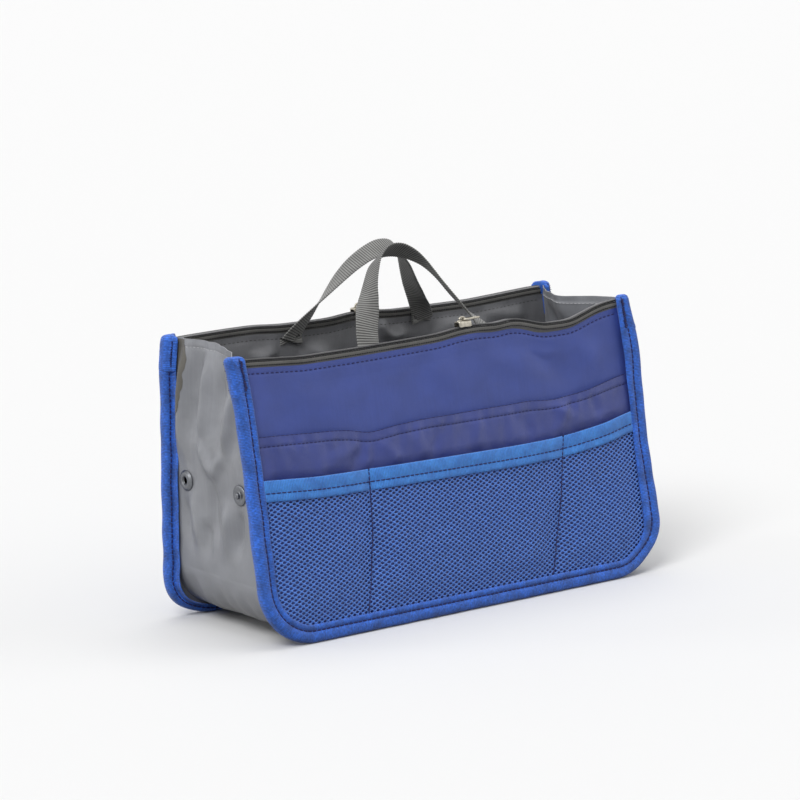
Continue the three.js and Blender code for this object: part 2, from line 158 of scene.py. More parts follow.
# The top edge sags between its ends, as read along the coil in the photograph
FRONT_SAG = soft_curve(
    [(-146, 0), (-134, -0.3), (-118, -1.6), (-96, -3.6), (-60, -3.9), (-20, -3.7), (2, -3.4), (12, -2.2),
     (20, -1.5), (32, -1.4), (43, -2.6), (56, -1.2), (66, -3.4), (78, -7.2), (100, -7.6), (113, -3.8),
     (122, -1.4), (134, 0), (146, 0)], 4)
REAR_SAG = soft_curve(
    [(-146, 0), (-130, 0.6), (-100, 0.7), (-78, 0.4), (-62, -1.4), (-25, -2.4), (-10, -0.8), (4, -0.8),
     (20, -3), (58, -3.8), (78, -4.2), (100, -3.4), (128, -2.4), (146, -2.4)], 5)
SAG = {"front": FRONT_SAG, "rear": REAR_SAG}

# How far the walls' short edges lean outward, by height, to the left and to the right
EDGE_LEAN = {
    ("front", -1): soft_curve([(0, 0), (138, 0), (155, 1.0), (169, 2.3)], 3),
    ("front", 1): soft_curve([(0, 0), (14, 0), (30, 1.2), (80, 0.5), (112, 0.8), (138, 1.5), (152, 0.6),
                              (169, 0)], 4),
    ("rear", -1): soft_curve([(0, 0), (136, 0), (146, -0.7), (158, -1.9), (169, -3.4)], 3),
    ("rear", 1): soft_curve([(0, 0), (130, 0), (150, -1.2), (169, -3.3)], 3),
}
# How far the tape stands wide of the edge it binds, by height
EDGE_SWELL = {
    ("front", -1): soft_curve([(0, 0), (169, 0.3)], 3),
    ("front", 1): soft_curve([(0, 0), (10, 0), (18, 2.2), (30, 2.8), (50, 2.9), (61, 2.2), (72, 1.6),
                              (82, 1.0), (104, 1.3), (124, 2.4), (138, 3.0), (145, 2.8), (152, 1.4),
                              (160, 0.4), (169, 0)], 3),
    ("rear", -1): soft_curve([(0, 0), (5, 1.5), (10, 3.8), (18, 3.6), (34, 0.8), (60, 0), (169, 0)], 3),
    ("rear", 1): soft_curve([(0, 0), (169, 0)], 3),
}


def by_side(curves, which, x, up):
    """A value at a height, from the curve of the wall's left or right edge."""
    return np.where(x < 0, curves[which, -1](up), curves[which, 1](up))


def belly(which, x, up):
    """How far the whole wall bows outward between its bound edges."""
    across = np.cos(np.clip(x / 139.0, -1, 1) * math.pi / 2) ** 0.8
    lengthwise = np.sin(np.clip(up / 150.0, 0, 1) * math.pi) ** 0.9
    return WALL_BOW[which] * across * lengthwise


def on_wall(which, x, out, up):
    """World places, in millimetres, of places given in a wall, with its sag and belly."""
    x, out, up = np.broadcast_arrays(*(np.asarray(a, float) for a in (x, out, up)))
    side = np.where(x < 0, -1, 1)
    x_now = x + side * by_side(EDGE_LEAN, which, x, up) * smoothstep(*LEAN_REACH, np.abs(x))
    up_now = up + SAG[which](x) * smoothstep(*SAG_REACH, up)
    out_now = out + belly(which, x, up)
    lean, facing = LEAN[which], FACING[which]
    y = facing * (WALL_FOOT + out_now * math.cos(lean) - up_now * math.sin(lean))
    z = -FOOT_CUT + out_now * math.sin(lean) + up_now * math.cos(lean)
    return np.stack([x_now, y, np.maximum(z, LOWEST)], axis=-1)


def wall_normal(which):
    lean, facing = LEAN[which], FACING[which]
    return np.array([0, facing * math.cos(lean), math.sin(lean)])


def half_width(up, inset):
    """Half the length of a wall at a height, drawn in from its edge, with its round lower corners."""
    radius = CORNER_RADIUS - inset
    drop = np.clip(CORNER_RADIUS - up, 0, radius)
    return WALL_LENGTH / 2 - CORNER_RADIUS + np.sqrt(radius**2 - drop**2)


def wall_grid(inset, top, step_x, lower_rows, upper_rows, upper_band):
    """x and up of a sheet that fills a wall below the curve top(x), with closer rows near its top."""
    height = float(np.max(top(np.linspace(-140, 140, 57))))
    arc = CORNER_RADIUS - (CORNER_RADIUS - inset) * np.cos(np.linspace(0, math.pi / 2, 9))
    lower = np.linspace(CORNER_RADIUS, height - upper_band, lower_rows)
    upper = np.linspace(height - upper_band, height, upper_rows)
    base = np.concatenate([arc, lower[1:], upper[1:]])
    u = np.linspace(-1, 1, int(2 * 145 / step_x))
    x = half_width(base, inset)[:, None] * u[None, :]
    drop = top(x) - height
    up = base[:, None] + drop * smoothstep(20, height - 10, base)[:, None]
    return x, up


# Mesh making

def make_mesh(name, points, faces, uvs=None, smooth=True):
    """An object from points in millimetres. uvs, one for each point, are in millimetres too."""
    mesh = bpy.data.meshes.new(name)
    points = np.asarray(points, float) * MM
    mesh.from_pydata(points.tolist(), [], [list(map(int, f)) for f in faces])
    if uvs is not None:
        layer = mesh.uv_layers.new(name="cloth")
        index = np.zeros(len(mesh.loops), np.int32)
        mesh.loops.foreach_get("vertex_index", index)
        layer.data.foreach_set("uv", np.asarray(uvs, np.float32)[index].ravel())
    mesh.polygons.foreach_set("use_smooth", [smooth] * len(mesh.polygons))
    mesh.update()
    piece = bpy.data.objects.new(name, mesh)
    SCENE.collection.objects.link(piece)
    return piece


def grid_faces(rows, cols, start=0, wrap=False, flip=False):
    a = np.arange(rows - 1)[:, None] * cols
    b = np.arange(cols if wrap else cols - 1)[None, :]
    c = (b + 1) % cols
    quads = np.stack([a + b, a + c, a + cols + c, a + cols + b], axis=-1).reshape(-1, 4) + start
    return quads[:, ::-1] if flip else quads


def normals_of(points):
    du = np.gradient(points, axis=1)
    dv = np.gradient(points, axis=0)
    n = np.cross(du, dv)
    return n / np.maximum(np.linalg.norm(n, axis=-1, keepdims=True), 1e-9)


def cloth_piece(name, points, uv, thickness=CLOTH, flip=False):
    """A sheet of cloth from a grid of places on its middle surface. Its thickness may differ by row."""
    if flip:
        points, uv = points[:, ::-1], uv[:, ::-1]
    rows, cols = points.shape[:2]
    n = normals_of(points) * np.reshape(thickness, (-1, 1, 1)) / 2
    both = np.concatenate([(points + n).reshape(-1, 3), (points - n).reshape(-1, 3)])
    count = rows * cols
    around = np.concatenate([
        np.arange(cols), np.arange(1, rows) * cols + cols - 1,
        (rows - 1) * cols + np.arange(cols - 2, -1, -1), np.arange(rows - 2, 0, -1) * cols])
    after = np.roll(around, -1)
    cut_edge = np.stack([around, around + count, after + count, after], axis=-1)
    faces = [grid_faces(rows, cols), grid_faces(rows, cols, start=count, flip=True), cut_edge]
    piece = make_mesh(name, both, np.concatenate(faces), np.concatenate([uv.reshape(-1, 2)] * 2))
    edge = np.stack([around, after], axis=-1)
    sharpen(piece.data, np.concatenate([edge, edge + count]))
    return piece


def sharpen(mesh, pairs):
    """Marks the edges between pairs of points as sharp, so that a cut edge doesn't shade the cloth."""
    ends = np.zeros(len(mesh.edges) * 2, np.int32)
    mesh.edges.foreach_get("vertices", ends)
    size = len(mesh.vertices)
    key = np.sort(ends.reshape(-1, 2), axis=1) @ [size, 1]
    wanted = np.sort(pairs, axis=1) @ [size, 1]
    mesh.edges.foreach_set("use_edge_sharp", np.isin(key, wanted))


def skin_piece(name, rings, uv=None, flip=False):
    """A closed skin over rings of places (steps, around, 3), with flat caps at both ends."""
    if uv is None:
        uv = np.zeros(rings.shape[:2] + (2,))
    if flip:
        rings, uv = rings[:, ::-1], uv[:, ::-1]
    rows, cols = rings.shape[:2]
    faces = grid_faces(rows, cols, wrap=True).tolist()
    faces.append(list(range(cols - 1, -1, -1)))
    faces.append([(rows - 1) * cols + i for i in range(cols)])
    return make_mesh(name, rings.reshape(-1, 3), faces, uv.reshape(-1, 2))


def soften(piece):
    modifier = piece.modifiers.new("soft", "SUBSURF")
    modifier.levels = modifier.render_levels = 1


def join(name, pieces):
    """Several pieces as one object."""
    points, faces, uvs = [], [], []
    start = 0
    for piece in pieces:
        mesh = piece.data
        co = np.zeros(len(mesh.vertices) * 3, np.float32)
        mesh.vertices.foreach_get("co", co)
        points.append(co.reshape(-1, 3) / MM)
        uv = np.zeros((len(mesh.vertices), 2))
        loops = np.zeros(len(mesh.loops), np.int32)
        mesh.loops.foreach_get("vertex_index", loops)
        flat = np.zeros(len(mesh.loops) * 2, np.float32)
        mesh.uv_layers["cloth"].data.foreach_get("uv", flat)
        uv[loops] = flat.reshape(-1, 2)
        uvs.append(uv)
        faces += [[v + start for v in p.vertices] for p in mesh.polygons]
        start += len(mesh.vertices)
        bpy.data.objects.remove(piece)
    return make_mesh(name, np.concatenate(points), faces, np.concatenate(uvs))


def arc_lengths(path):
    steps = np.linalg.norm(np.diff(path, axis=0), axis=1)
    return np.concatenate([[0], np.cumsum(steps)])


def resampled(path, count):
    lengths = arc_lengths(path)
    wanted = np.linspace(0, lengths[-1], count)
    return np.stack([np.interp(wanted, lengths, path[:, i]) for i in range(3)], axis=-1)


# A stitch's sections: places along it, girths, and how deep each dips, as shares of its length and thread
STITCH_ALONG = np.array([-0.5, -0.36, 0, 0.36, 0.5])
STITCH_GIRTH = np.array([0.35, 0.85, 1.0, 0.85, 0.35])
STITCH_DIP = np.array([-0.8, -0.1, 0.1, -0.1, -0.8])
STITCH_SINK = 0.1


def stitch_line(name, path, facing, pitch, length, thread):
    """A row of stitches: short rounded dashes along a path, on the side that facing points to."""
    lengths = arc_lengths(path)
    count = max(1, int(lengths[-1] / pitch))
    rows, angle = len(STITCH_ALONG), circle(6)
    sides = len(angle)
    points, faces = [], []
    facing = np.broadcast_to(np.asarray(facing, float), path.shape)
    for i, centre in enumerate((np.arange(count) + 0.5) * lengths[-1] / count):
        at = centre + STITCH_ALONG * length
        spots = np.stack([np.interp(at, lengths, path[:, k]) for k in range(3)], axis=-1)
        out = unit(np.array([np.interp(centre, lengths, facing[:, k]) for k in range(3)]))
        along = spots[-1] - spots[0]
        along /= max(np.linalg.norm(along), 1e-9)
        spots = spots + out * ((STITCH_DIP * thread)[:, None] - STITCH_SINK + thread * 0.35)
        ring = np.cross(along, out) * np.cos(angle)[:, None] + out * np.sin(angle)[:, None]
        points.append((spots[:, None] + ring * (STITCH_GIRTH * thread)[:, None, None]).reshape(-1, 3))
        start = i * rows * sides
        faces += grid_faces(rows, sides, start, wrap=True).tolist()
        faces.append([start + k for k in range(sides - 1, -1, -1)])
        faces.append([start + (rows - 1) * sides + k for k in range(sides)])
    return make_mesh(name, np.concatenate(points), faces, np.zeros((count * rows * sides, 2)))


# Materials

def colour(red, green, blue):
    """A colour written as it shows on a screen, 0 to 255, as Blender's linear values."""
    channels = [c / 255 for c in (red, green, blue)]
    return tuple(c / 12.92 if c <= 0.04045 else ((c + 0.055) / 1.055) ** 2.4 for c in channels) + (1.0,)


def grey(level):
    return (level, level, level, 1)


class Nodes:
    """Short names for making one material's node tree."""

    def __init__(self, name):
        self.material = bpy.data.materials.new(name)
        self.material.use_nodes = True
        self.tree = self.material.node_tree
        self.shader = self.tree.nodes["Principled BSDF"]

    def add(self, kind, **settings):
        node = self.tree.nodes.new(kind)
        for key, value in settings.items():
            if key in node.inputs:
                node.inputs[key].default_value = value
            else:
                setattr(node, key, value)
        return node

    def link(self, source, target):
        self.tree.links.new(source, target)

    def feed(self, sockets, values):
        """Links each value that is another node's output, and sets each that is a number or a colour."""
        for socket, value in zip(sockets, values):
            if isinstance(value, bpy.types.NodeSocket):
                self.link(value, socket)
            else:
                socket.default_value = value

    def math(self, operation, a, b=0.5, c=0.5):
        node = self.add("ShaderNodeMath", operation=operation)
        self.feed(node.inputs, (a, b, c))
        return node.outputs[0]

    def uv(self):
        """The cloth's own coordinates, in millimetres: along it, and across it."""
        node = self.add("ShaderNodeUVMap", uv_map="cloth")
        parts = self.add("ShaderNodeSeparateXYZ")
        self.link(node.outputs[0], parts.inputs[0])
        return node.outputs[0], parts.outputs[0], parts.outputs[1]

    def wave(self, coordinate, pitch):
        """Smooth ribs, 0 to 1, with one rib in each pitch of the coordinate."""
        turned = self.math("MULTIPLY", coordinate, 2 * math.pi / pitch)
        return self.math("MULTIPLY_ADD", self.math("SINE", turned), 0.5)

    def noise(self, vector, scale, stretch=(1, 1, 1), detail=2.0):
        mapping = self.add("ShaderNodeMapping")
        mapping.inputs["Scale"].default_value = stretch
        self.link(vector, mapping.inputs["Vector"])
        texture = self.add("ShaderNodeTexNoise", Scale=scale, Detail=detail)
        self.link(mapping.outputs[0], texture.inputs["Vector"])
        return texture.outputs[0]

    def colours(self, factor, dark, light, low=0.3, high=0.7):
        ramp = self.add("ShaderNodeValToRGB")
        ramp.color_ramp.elements[0].position = low
        ramp.color_ramp.elements[0].color = dark
        ramp.color_ramp.elements[1].position = high
        ramp.color_ramp.elements[1].color = light
        self.link(factor, ramp.inputs[0])
        return ramp.outputs[0]

    def mix(self, factor, a, b, blend="MIX"):
        node = self.add("ShaderNodeMix", data_type="RGBA", blend_type=blend)
        self.feed((node.inputs[0], node.inputs[6], node.inputs[7]), (factor, a, b))
        return node.outputs[2]

    def tint(self, base, factor, dull, bright, low=0.3, high=0.7):
        """The base colour, made duller or brighter as the factor says."""
        return self.mix(1.0, base, self.colours(factor, grey(dull), grey(bright), low, high), "MULTIPLY")

    def bump(self, height, distance, strength=1.0, normal=None):
        node = self.add("ShaderNodeBump", Strength=strength, Distance=distance * MM)
        self.link(height, node.inputs["Height"])
        if normal is not None:
            self.link(normal, node.inputs["Normal"])
        return node.outputs[0]

    def finish(self, base, normal=None, **values):
        self.link(base, self.shader.inputs["Base Color"])
        if normal is not None:
            self.link(normal, self.shader.inputs["Normal"])
        for key, value in values.items():
            self.shader.inputs[key.replace("_", " ")].default_value = value
        return self.material


def shades(rgb, spread):
    """A darker and a lighter shade of a colour."""
    return colour(*(c * (1 - spread) for c in rgb)), colour(*(min(255, c * (1 + spread)) for c in rgb))


def woven(name, rgb, roughness, pitch=0.45, spread=0.05, streak=0.03, sheen=0.25, bump=0.06):
    """A plain weave: threads over and under, with faint streaks along the warp."""
    n = Nodes(name)
    uv, along, across = n.uv()
    warp, weft = n.wave(along, pitch), n.wave(across, pitch)
    weave = n.math("MULTIPLY", n.math("SUBTRACT", warp, 0.5), n.math("SUBTRACT", weft, 0.5))
    weave = n.math("MULTIPLY_ADD", weave, 2.0, 0.5)
    streaks = n.noise(uv, 1.0, stretch=(1.4, 0.02, 1))
    base = n.colours(n.noise(uv, 0.05, detail=3.0), *shades(rgb, spread))
    base = n.tint(base, streaks, 1 - 2 * streak, 1 + streak)
    base = n.tint(base, weave, 0.9, 1.04, 0.2, 0.8)
    rumples = n.bump(n.noise(uv, 0.35, detail=4.0), 0.25, 0.35, n.bump(weave, bump))
    return n.finish(base, rumples, Roughness=roughness, Sheen_Weight=sheen, Sheen_Roughness=0.4)


def ribbed(name, rgb, pitch, depth, groove, roughness=0.75, spread=0.06, sheen=0.3, cross=0.5, speckle=0.0):
    """A grosgrain tape or webbing: ribs across it, with painted shade in the grooves between them, fine yarns
    along it, and loose fibres that catch light.
    """
    n = Nodes(name)
    uv, along, across = n.uv()
    rib, yarn = n.wave(along, pitch), n.wave(across, cross)
    base = n.colours(n.noise(uv, 0.12, detail=4.0), *shades(rgb, spread))
    # Painted shade: the grooves between the ribs are darkened to the groove factor
    base = n.tint(base, rib, groove, 1.06, 0.05, 0.6)
    base = n.tint(base, yarn, 0.88, 1.03, 0.1, 0.7)
    if speckle:
        fibres = n.noise(uv, 0.9, stretch=(1.0, 0.6, 1), detail=4.0)
        base = n.tint(base, fibres, 1 - speckle, 1 + speckle, 0.36, 0.64)
    height = n.math("MULTIPLY_ADD", yarn, 0.25, rib)
    return n.finish(base, n.bump(height, depth), Roughness=roughness, Sheen_Weight=sheen, Sheen_Roughness=0.5)


def plain(name, rgb, roughness, spread=0.05, **values):
    """A smooth material with faint uneven colour."""
    n = Nodes(name)
    place = n.add("ShaderNodeTexCoord").outputs["Object"]
    texture = n.noise(place, 400.0, detail=4.0)
    base = n.colours(texture, *shades(rgb, spread))
    return n.finish(base, n.bump(texture, 0.05, 0.5), Roughness=roughness, **values)


NYLON = woven("blue_nylon", (60, 80, 160), roughness=0.46)
SLIP_NYLON = woven("blue_nylon_pocket", (58, 73, 150), roughness=0.34)
LINING = woven("grey_lining", (126, 127, 131), roughness=0.34, sheen=0.12)
GUSSET = woven("grey_gusset_nylon", (154, 156, 162), roughness=0.28, streak=0.02, sheen=0.08)
# Painted shade: a darker cloth for the strip that stands for the shade in the fold beside each gusset's rear
# seam
SHADE_STRIP_CLOTH = woven("brown_grey_painted_shade_strip", (106, 103, 96), roughness=0.5)
BINDING = ribbed("blue_binding_tape", (50, 108, 212), pitch=0.9, depth=0.15, groove=0.72, spread=0.18,
                 speckle=0.26)
BAND = ribbed("light_blue_band_tape", (68, 142, 244), pitch=1.0, depth=0.14, groove=0.8, spread=0.12,
              speckle=0.1)
WEBBING = ribbed("grey_webbing", (136, 136, 134), pitch=1.45, depth=0.1, groove=0.3, cross=0.6)
ZIP_TAPE = ribbed("grey_zip_tape", (106, 105, 102), pitch=0.7, depth=0.06, groove=0.8, speckle=0.1)
MESH = plain("blue_mesh_yarn", (80, 132, 222), 0.7, spread=0.1, Sheen_Weight=0.3)
# One grey plastic coil: its outer row is darkened as painted shade for the crease along the zip's front, and
# its inner row is lighter
COIL = {"outer": plain("zip_coil_painted_shade", (54, 54, 56), 0.45),
        "inner": plain("grey_zip_coil", (120, 120, 122), 0.45)}
NAVY_THREAD = plain("navy_thread", (20, 24, 84), 0.6)
GREY_THREAD = plain("grey_thread", (70, 70, 72), 0.6)
DARK_THREAD = plain("dark_grey_thread", (22, 22, 24), 0.8)
PALE_THREAD = plain("pale_thread", (196, 197, 200), 0.6)
SLIDER_METAL = plain("warm_plated_metal", (172, 167, 155), 0.3, spread=0.12, Metallic=1.0)
SNAP_METAL = plain("gunmetal_plating", (112, 114, 118), 0.38, Metallic=1.0)


def dress(piece, material, body, slot, *nodes):
    """Gives a piece its material and its body, and hides the CAD nodes that it stands for. slot is not used.
    """
    piece.data.materials.append(material)
    if body:
        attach(piece, body)
    if nodes:
        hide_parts(*nodes)


def sew(which, label, x, out, up, slot, pitch, length, thread, material=NAVY_THREAD, way=1):
    """A row of stitches along a wall, on its outside, or on its inside where way is -1."""
    path = on_wall(which, x, out, up)
    stitches = stitch_line(f"{which}_{label}", path, way * wall_normal(which), pitch, length, thread)
    dress(stitches, material, f"{which}_wall", slot)


def sew_rows(which, top, place_out, slot, count, rows, **how):
    """Rows along a wall: name, distance below the curve top(x), lift, pitch, length and thread of each."""
    x = np.linspace(-SEAM_REACH, SEAM_REACH, count)
    for label, below, lift, pitch, length, thread in rows:
        up = top(x) - below
        sew(which, label, x, place_out(which, x, up) + lift, up, slot, pitch, length, thread, **how)


def make_wall_cloth(which, label, grid, place_out, material, slot, node):
    """A sheet of cloth across a whole wall, held all round in its binding."""
    x, up = grid
    points = on_wall(which, x, place_out(which, x, up), up)
    piece = cloth_piece(f"{which}_{label}_cloth", points, together(x, up))
    dress(piece, material, f"{which}_wall", slot, f"{which}_{node}")


# Camera, floor and light

# The photograph's viewpoint, the result of a fit: turn, height and roll in degrees, distance and target
# in millimetres, and the focal length and the picture's width in pixels
CAMERA_ANGLES = (36.36, 11.48, -1.46)
CAMERA_DISTANCE = 2468.8
CAMERA_TARGET = (-7.09, 3.03, 118.3)
FOCAL_PIXELS, IMAGE_PIXELS = 4192.9, 800
SENSOR_WIDTH = 36
FLOOR_REACH = 6000
FLOOR = (240, 240, 240)
FLOOR_BOUNCE = (118, 118, 118)
SKY_LIGHT = 0.36
LAMPS = (("key", (-0.75, -0.42, 0.9), 30, 1.5), ("fill", (0.85, -0.55, 0.5), 50, 0.42),
         ("top", (0.1, 0.15, 1.0), 50, 0.95), ("rim", (-0.8, 0.6, 0.28), 16, 0.32))


def make_camera():
    azimuth, elevation, roll = map(math.radians, CAMERA_ANGLES)
    level = math.cos(elevation)
    back = Vector((-math.sin(azimuth) * level, -math.cos(azimuth) * level, math.sin(elevation)))
    right = Vector((math.cos(azimuth), -math.sin(azimuth), 0))
    upward = back.cross(right)
    turned_right = right * math.cos(roll) + upward * math.sin(roll)
    turned_up = upward * math.cos(roll) - right * math.sin(roll)
    data = bpy.data.cameras.new("camera")
    data.sensor_width = SENSOR_WIDTH
    data.lens = FOCAL_PIXELS / IMAGE_PIXELS * SENSOR_WIDTH
    data.clip_start, data.clip_end = 0.05, 50
    camera = bpy.data.objects.new("camera", data)
    camera.matrix_world = Matrix((turned_right, turned_up, back)).transposed().to_4x4()
    camera.location = Vector(CAMERA_TARGET) * MM + back * CAMERA_DISTANCE * MM
    SCENE.collection.objects.link(camera)
    SCENE.camera = camera


def make_stage():
    """A pale floor, and the soft light of a studio, most of it from above."""
    corners = [(x * FLOOR_REACH, y * FLOOR_REACH, 0) for x, y in ((-1, -1), (1, -1), (1, 1), (-1, 1))]
    floor = make_mesh("floor", corners, [(0, 1, 2, 3)], smooth=False)
    n = Nodes("pale_floor")
    n.shader.inputs["Roughness"].default_value = 0.9
    base = n.mix(seen_directly(n.tree), colour(*FLOOR_BOUNCE), colour(*FLOOR))
    n.link(base, n.shader.inputs["Base Color"])
    floor.data.materials.append(n.material)
    world = bpy.data.worlds.new("studio")
    world.use_nodes = True
    SCENE.world = world
    tree = world.node_tree
    background = tree.nodes["Background"]
    strength = tree.nodes.new("ShaderNodeMapRange")
    strength.inputs["To Min"].default_value = SKY_LIGHT
    strength.inputs["To Max"].default_value = 1.0
    tree.links.new(seen_directly(tree), strength.inputs["Value"])
    tree.links.new(strength.outputs["Result"], background.inputs["Strength"])
    background.inputs["Color"].default_value = (1, 1, 1, 1)
    for name, source, spread, power in LAMPS:
        data = bpy.data.lights.new(name, "SUN")
        data.angle = math.radians(spread)
        data.energy = power
        lamp = bpy.data.objects.new(name, data)
        lamp.rotation_euler = Vector(source).to_track_quat("Z", "Y").to_euler()
        SCENE.collection.objects.link(lamp)
    SCENE.view_settings.view_transform = "Standard"


def seen_directly(tree):
    """1 for rays from the camera and for those that a shiny or clear surface sends on, otherwise 0."""
    path = tree.nodes.new("ShaderNodeLightPath")
    total = path.outputs["Is Camera Ray"]
    for kind in ("Is Glossy Ray", "Is Transmission Ray"):
        node = tree.nodes.new("ShaderNodeMath")
        node.operation = "MAXIMUM"
        tree.links.new(total, node.inputs[0])
        tree.links.new(path.outputs[kind], node.inputs[1])
        total = node.outputs[0]
    return total


# Where the pockets' edges and sewn lines run on the front wall, and a calmer version for the rear
SLIP_TOP = {
    "front": soft_curve([(-146, 121), (-130, 121), (-106, 120.2), (-85, 119.2), (-70, 117.2), (-58, 113.6),
                         (-42, 115.6), (-18, 116.6), (20, 115.6), (59, 115.5), (73, 114.9), (100, 117.6),
                         (136, 121), (146, 121)], 4),
    "rear": soft_curve([(-146, 121), (-100, 119.4), (-60, 116.6), (-20, 117.4), (40, 116.2), (76, 115.2),
                        (110, 118.6), (146, 121)], 6),
}
BAND_TOP = {
    "front": soft_curve([(-146, 96.4), (-135, 96.3), (-100, 93.6), (-62, 92.4), (-38, 92.1), (-9, 91.5),
                         (40, 90.6), (80, 90.8), (110, 94), (134, 98.2), (146, 98.6)], 6),
    "rear": soft_curve([(-146, 97.5), (-110, 94.6), (-75, 92), (0, 92.4), (66, 91.2), (110, 94.6),
                        (146, 97.5)], 6),
}
DIVIDERS = {
    "front": [[(7, -73.9), (27, -69.4), (57.6, -64), (94, -62)], [(7, 61.7), (24, 66.4), (57, 74.5),
               (94, 80.6)]],
    "rear": [[(7, -70), (27, -69), (57.6, -67), (94, -66)], [(7, 70), (24, 69), (57, 67), (94, 66)]],
}
BAND_HEIGHT = 12.0
SLIP_HEM = 5.6
PANEL_HEM = 3.4


def divider_x(which, number, up):
    ups, xs = zip(*DIVIDERS[which][number])
    return np.interp(up, ups, xs)


def near_dividers(which, x, up, width):
    """1 on the sewn lines between the mesh pockets, falling to 0 away from them."""
    return sum(bell(x - divider_x(which, number, up), width) for number in (0, 1))


def divider_pull(which, x, up, width):
    return np.minimum(near_dividers(which, x, up, width), 1)


# Folds of the front panel: from and to (x, up), width, and height outward
PANEL_FOLDS = [((66, 158), (96, 122), 9, -1.6), ((100, 159), (118, 128), 8, 1.4), ((30, 152),
               (74, 132), 10, 1.0), ((-112, 155), (-70, 124), 12, 0.9), ((-8, 158), (14, 126), 9, 0.8)]


def panel_top(x):
    return PANEL_TOP + 0 * x


def panel_out(which, x, up):
    """How far the outer panel stands out: gentle waves, with puckers at the stitches under its top."""
    out = PANEL_OUT + 0.5 * ripples(x, up * 0.4, 90, 3 if which == "front" else 4)
    out = out + 0.22 * ripples(x, up * 0.6, 26, 5) * smoothstep(110, 150, up)
    over_seam = up - PANEL_TOP + PANEL_HEM
    near_top = bell(over_seam, 4.0)
    out = out + 0.16 * ripples(x, up * 0.2, 7, 6) * near_top
    held = smoothstep(143, 128, np.abs(x)) * smoothstep(PANEL_TOP + 1, 140, up)
    if which == "front":
        out = with_folds(out, x, up, PANEL_FOLDS)
    out = PANEL_OUT + (out - PANEL_OUT) * np.maximum(held, 0.25 * near_top) - 0.3 * bell(over_seam, 0.8)
    return np.maximum(out, -0.6 + 1.6 * smoothstep(140, 149, up))


def slip_slack(which, x, up):
    """How far the slip pocket stands off the panel, most at its hem between the sewn lines."""
    rise = smoothstep(30, 112, up)
    across = smoothstep(143, 105, np.abs(x))
    pulled = 1 - 0.8 * bell(x - divider_x(which, 0, 94), 16)
    return (0.4 + 2.4 * rise * pulled) * across * (0.75 + 0.25 * smoothstep(60, 0, SLIP_TOP[which](x) - up))


# Folds of the front slip pocket, written like the panel's
SLIP_FOLDS = [
    ((-58, 110), (-92, 100), 4.5, 1.3), ((-60, 112), (-74, 92), 3.5, -1.2), ((-60, 108), (-62, 92), 3, 1.0),
    ((-52, 108), (-38, 92), 4, 1.2), ((-30, 110), (-20, 93), 5, 1.0), ((-8, 112), (-16, 94), 4, -0.9),
    ((22, 110), (14, 92), 5, 0.9), ((48, 111), (60, 92), 5, -1.0), ((84, 112), (78, 92), 4, 1.3),
    ((74, 113), (96, 97), 4.5, 1.1), ((104, 115), (112, 98), 4, -1.0), ((-112, 116), (-120, 98), 5, 0.9)]


def slip_out(which, x, up):
    """How far out the slip pocket lies, with its crumples and the puckers of its hem."""
    below = SLIP_TOP[which](x) - up
    free = smoothstep(143, 126, np.abs(x))
    crumples = 0.5 * ripples(x, up * 0.5, 30, 11) + 0.3 * ripples(x, up * 0.3, 11, 12)
    out = SLIP_OUT + slip_slack(which, x, up) + free * crumples * smoothstep(60, 100, up)
    out = out + free * 0.5 * ripples(x, up * 0.15, 8, 13) * bell(below - SLIP_HEM, 5.0)
    out = out + 0.3 * smoothstep(SLIP_HEM + 0.5, SLIP_HEM - 0.6, below) - 0.38 * bell(below - SLIP_HEM, 0.8)
    out = out - free * smoothstep(6, -1, up - BAND_TOP[which](x))
    return with_folds(out, x, up, SLIP_FOLDS) if which == "front" else out


def mesh_out(which, x, up):
    """The mesh lies over the slip pocket, bellies between the sewn lines and is held down on them."""
    free = smoothstep(4, 26, up) * smoothstep(141, 112, np.abs(x))
    pull = divider_pull(which, x, up, 11) * smoothstep(104, 92, up)
    bulge = (1.6 + 0.9 * smoothstep(80, 40, up)) * free * (1 - pull)
    smooth_slip = SLIP_OUT + slip_slack(which, x, np.minimum(up, 92))
    waves = 0.3 * ripples(x, up, 34, 21) * free
    out = smooth_slip + 0.75 + bulge + waves - 0.25 * near_dividers(which, x, up, 2.2)
    return np.maximum(out, slip_out(which, x, up) + 0.55)


def make_panel(which):
    grid = wall_grid(2.0, panel_top, 1.8, 22, 52, 46)
    make_wall_cloth(which, "panel", grid, panel_out, NYLON, "nylon_blue", "outer_panel")
    sew_rows(which, panel_top, panel_out, "nylon_blue", 400,
             [("panel_stitches", PANEL_HEM, CLOTH / 2, 3.3, 2.5, 0.42)])


def make_slip(which):
    top = SLIP_TOP[which]
    grid = wall_grid(1.6, top, 1.5, 12, 62, 40)
    make_wall_cloth(which, "slip", grid, slip_out, SLIP_NYLON, "nylon_blue", "slip_pocket")
    # The second row is no stitching: a dark thread along the slip pocket's top edge, painted shadow for the
    # gap at the pocket's opening
    sew_rows(which, top, slip_out, "nylon_blue", 500,
             [("slip_stitches", SLIP_HEM, CLOTH / 2, 2.8, 2.4, 0.32),
              ("slip_edge_shadow_line", -0.1, 0, 3.0, 3.0, 0.3)])


# The mesh: a staggered lattice of oval holes
MESH_PITCH = 4.17
MESH_REPEAT = 2.78
QUARTER = np.array([MESH_PITCH, MESH_REPEAT]) / 4
MESH_LOW, MESH_HIGH = 4.0, 92.0
HOLE_WIDTH = 2.25
HOLE_HEIGHT = 1.45
STRAND = 0.22
ROUND_CELL = np.array([(2, 0), (1, 1), (0, 2), (-1, 1), (-2, 0), (-1, -1), (0, -2), (1, -1)])


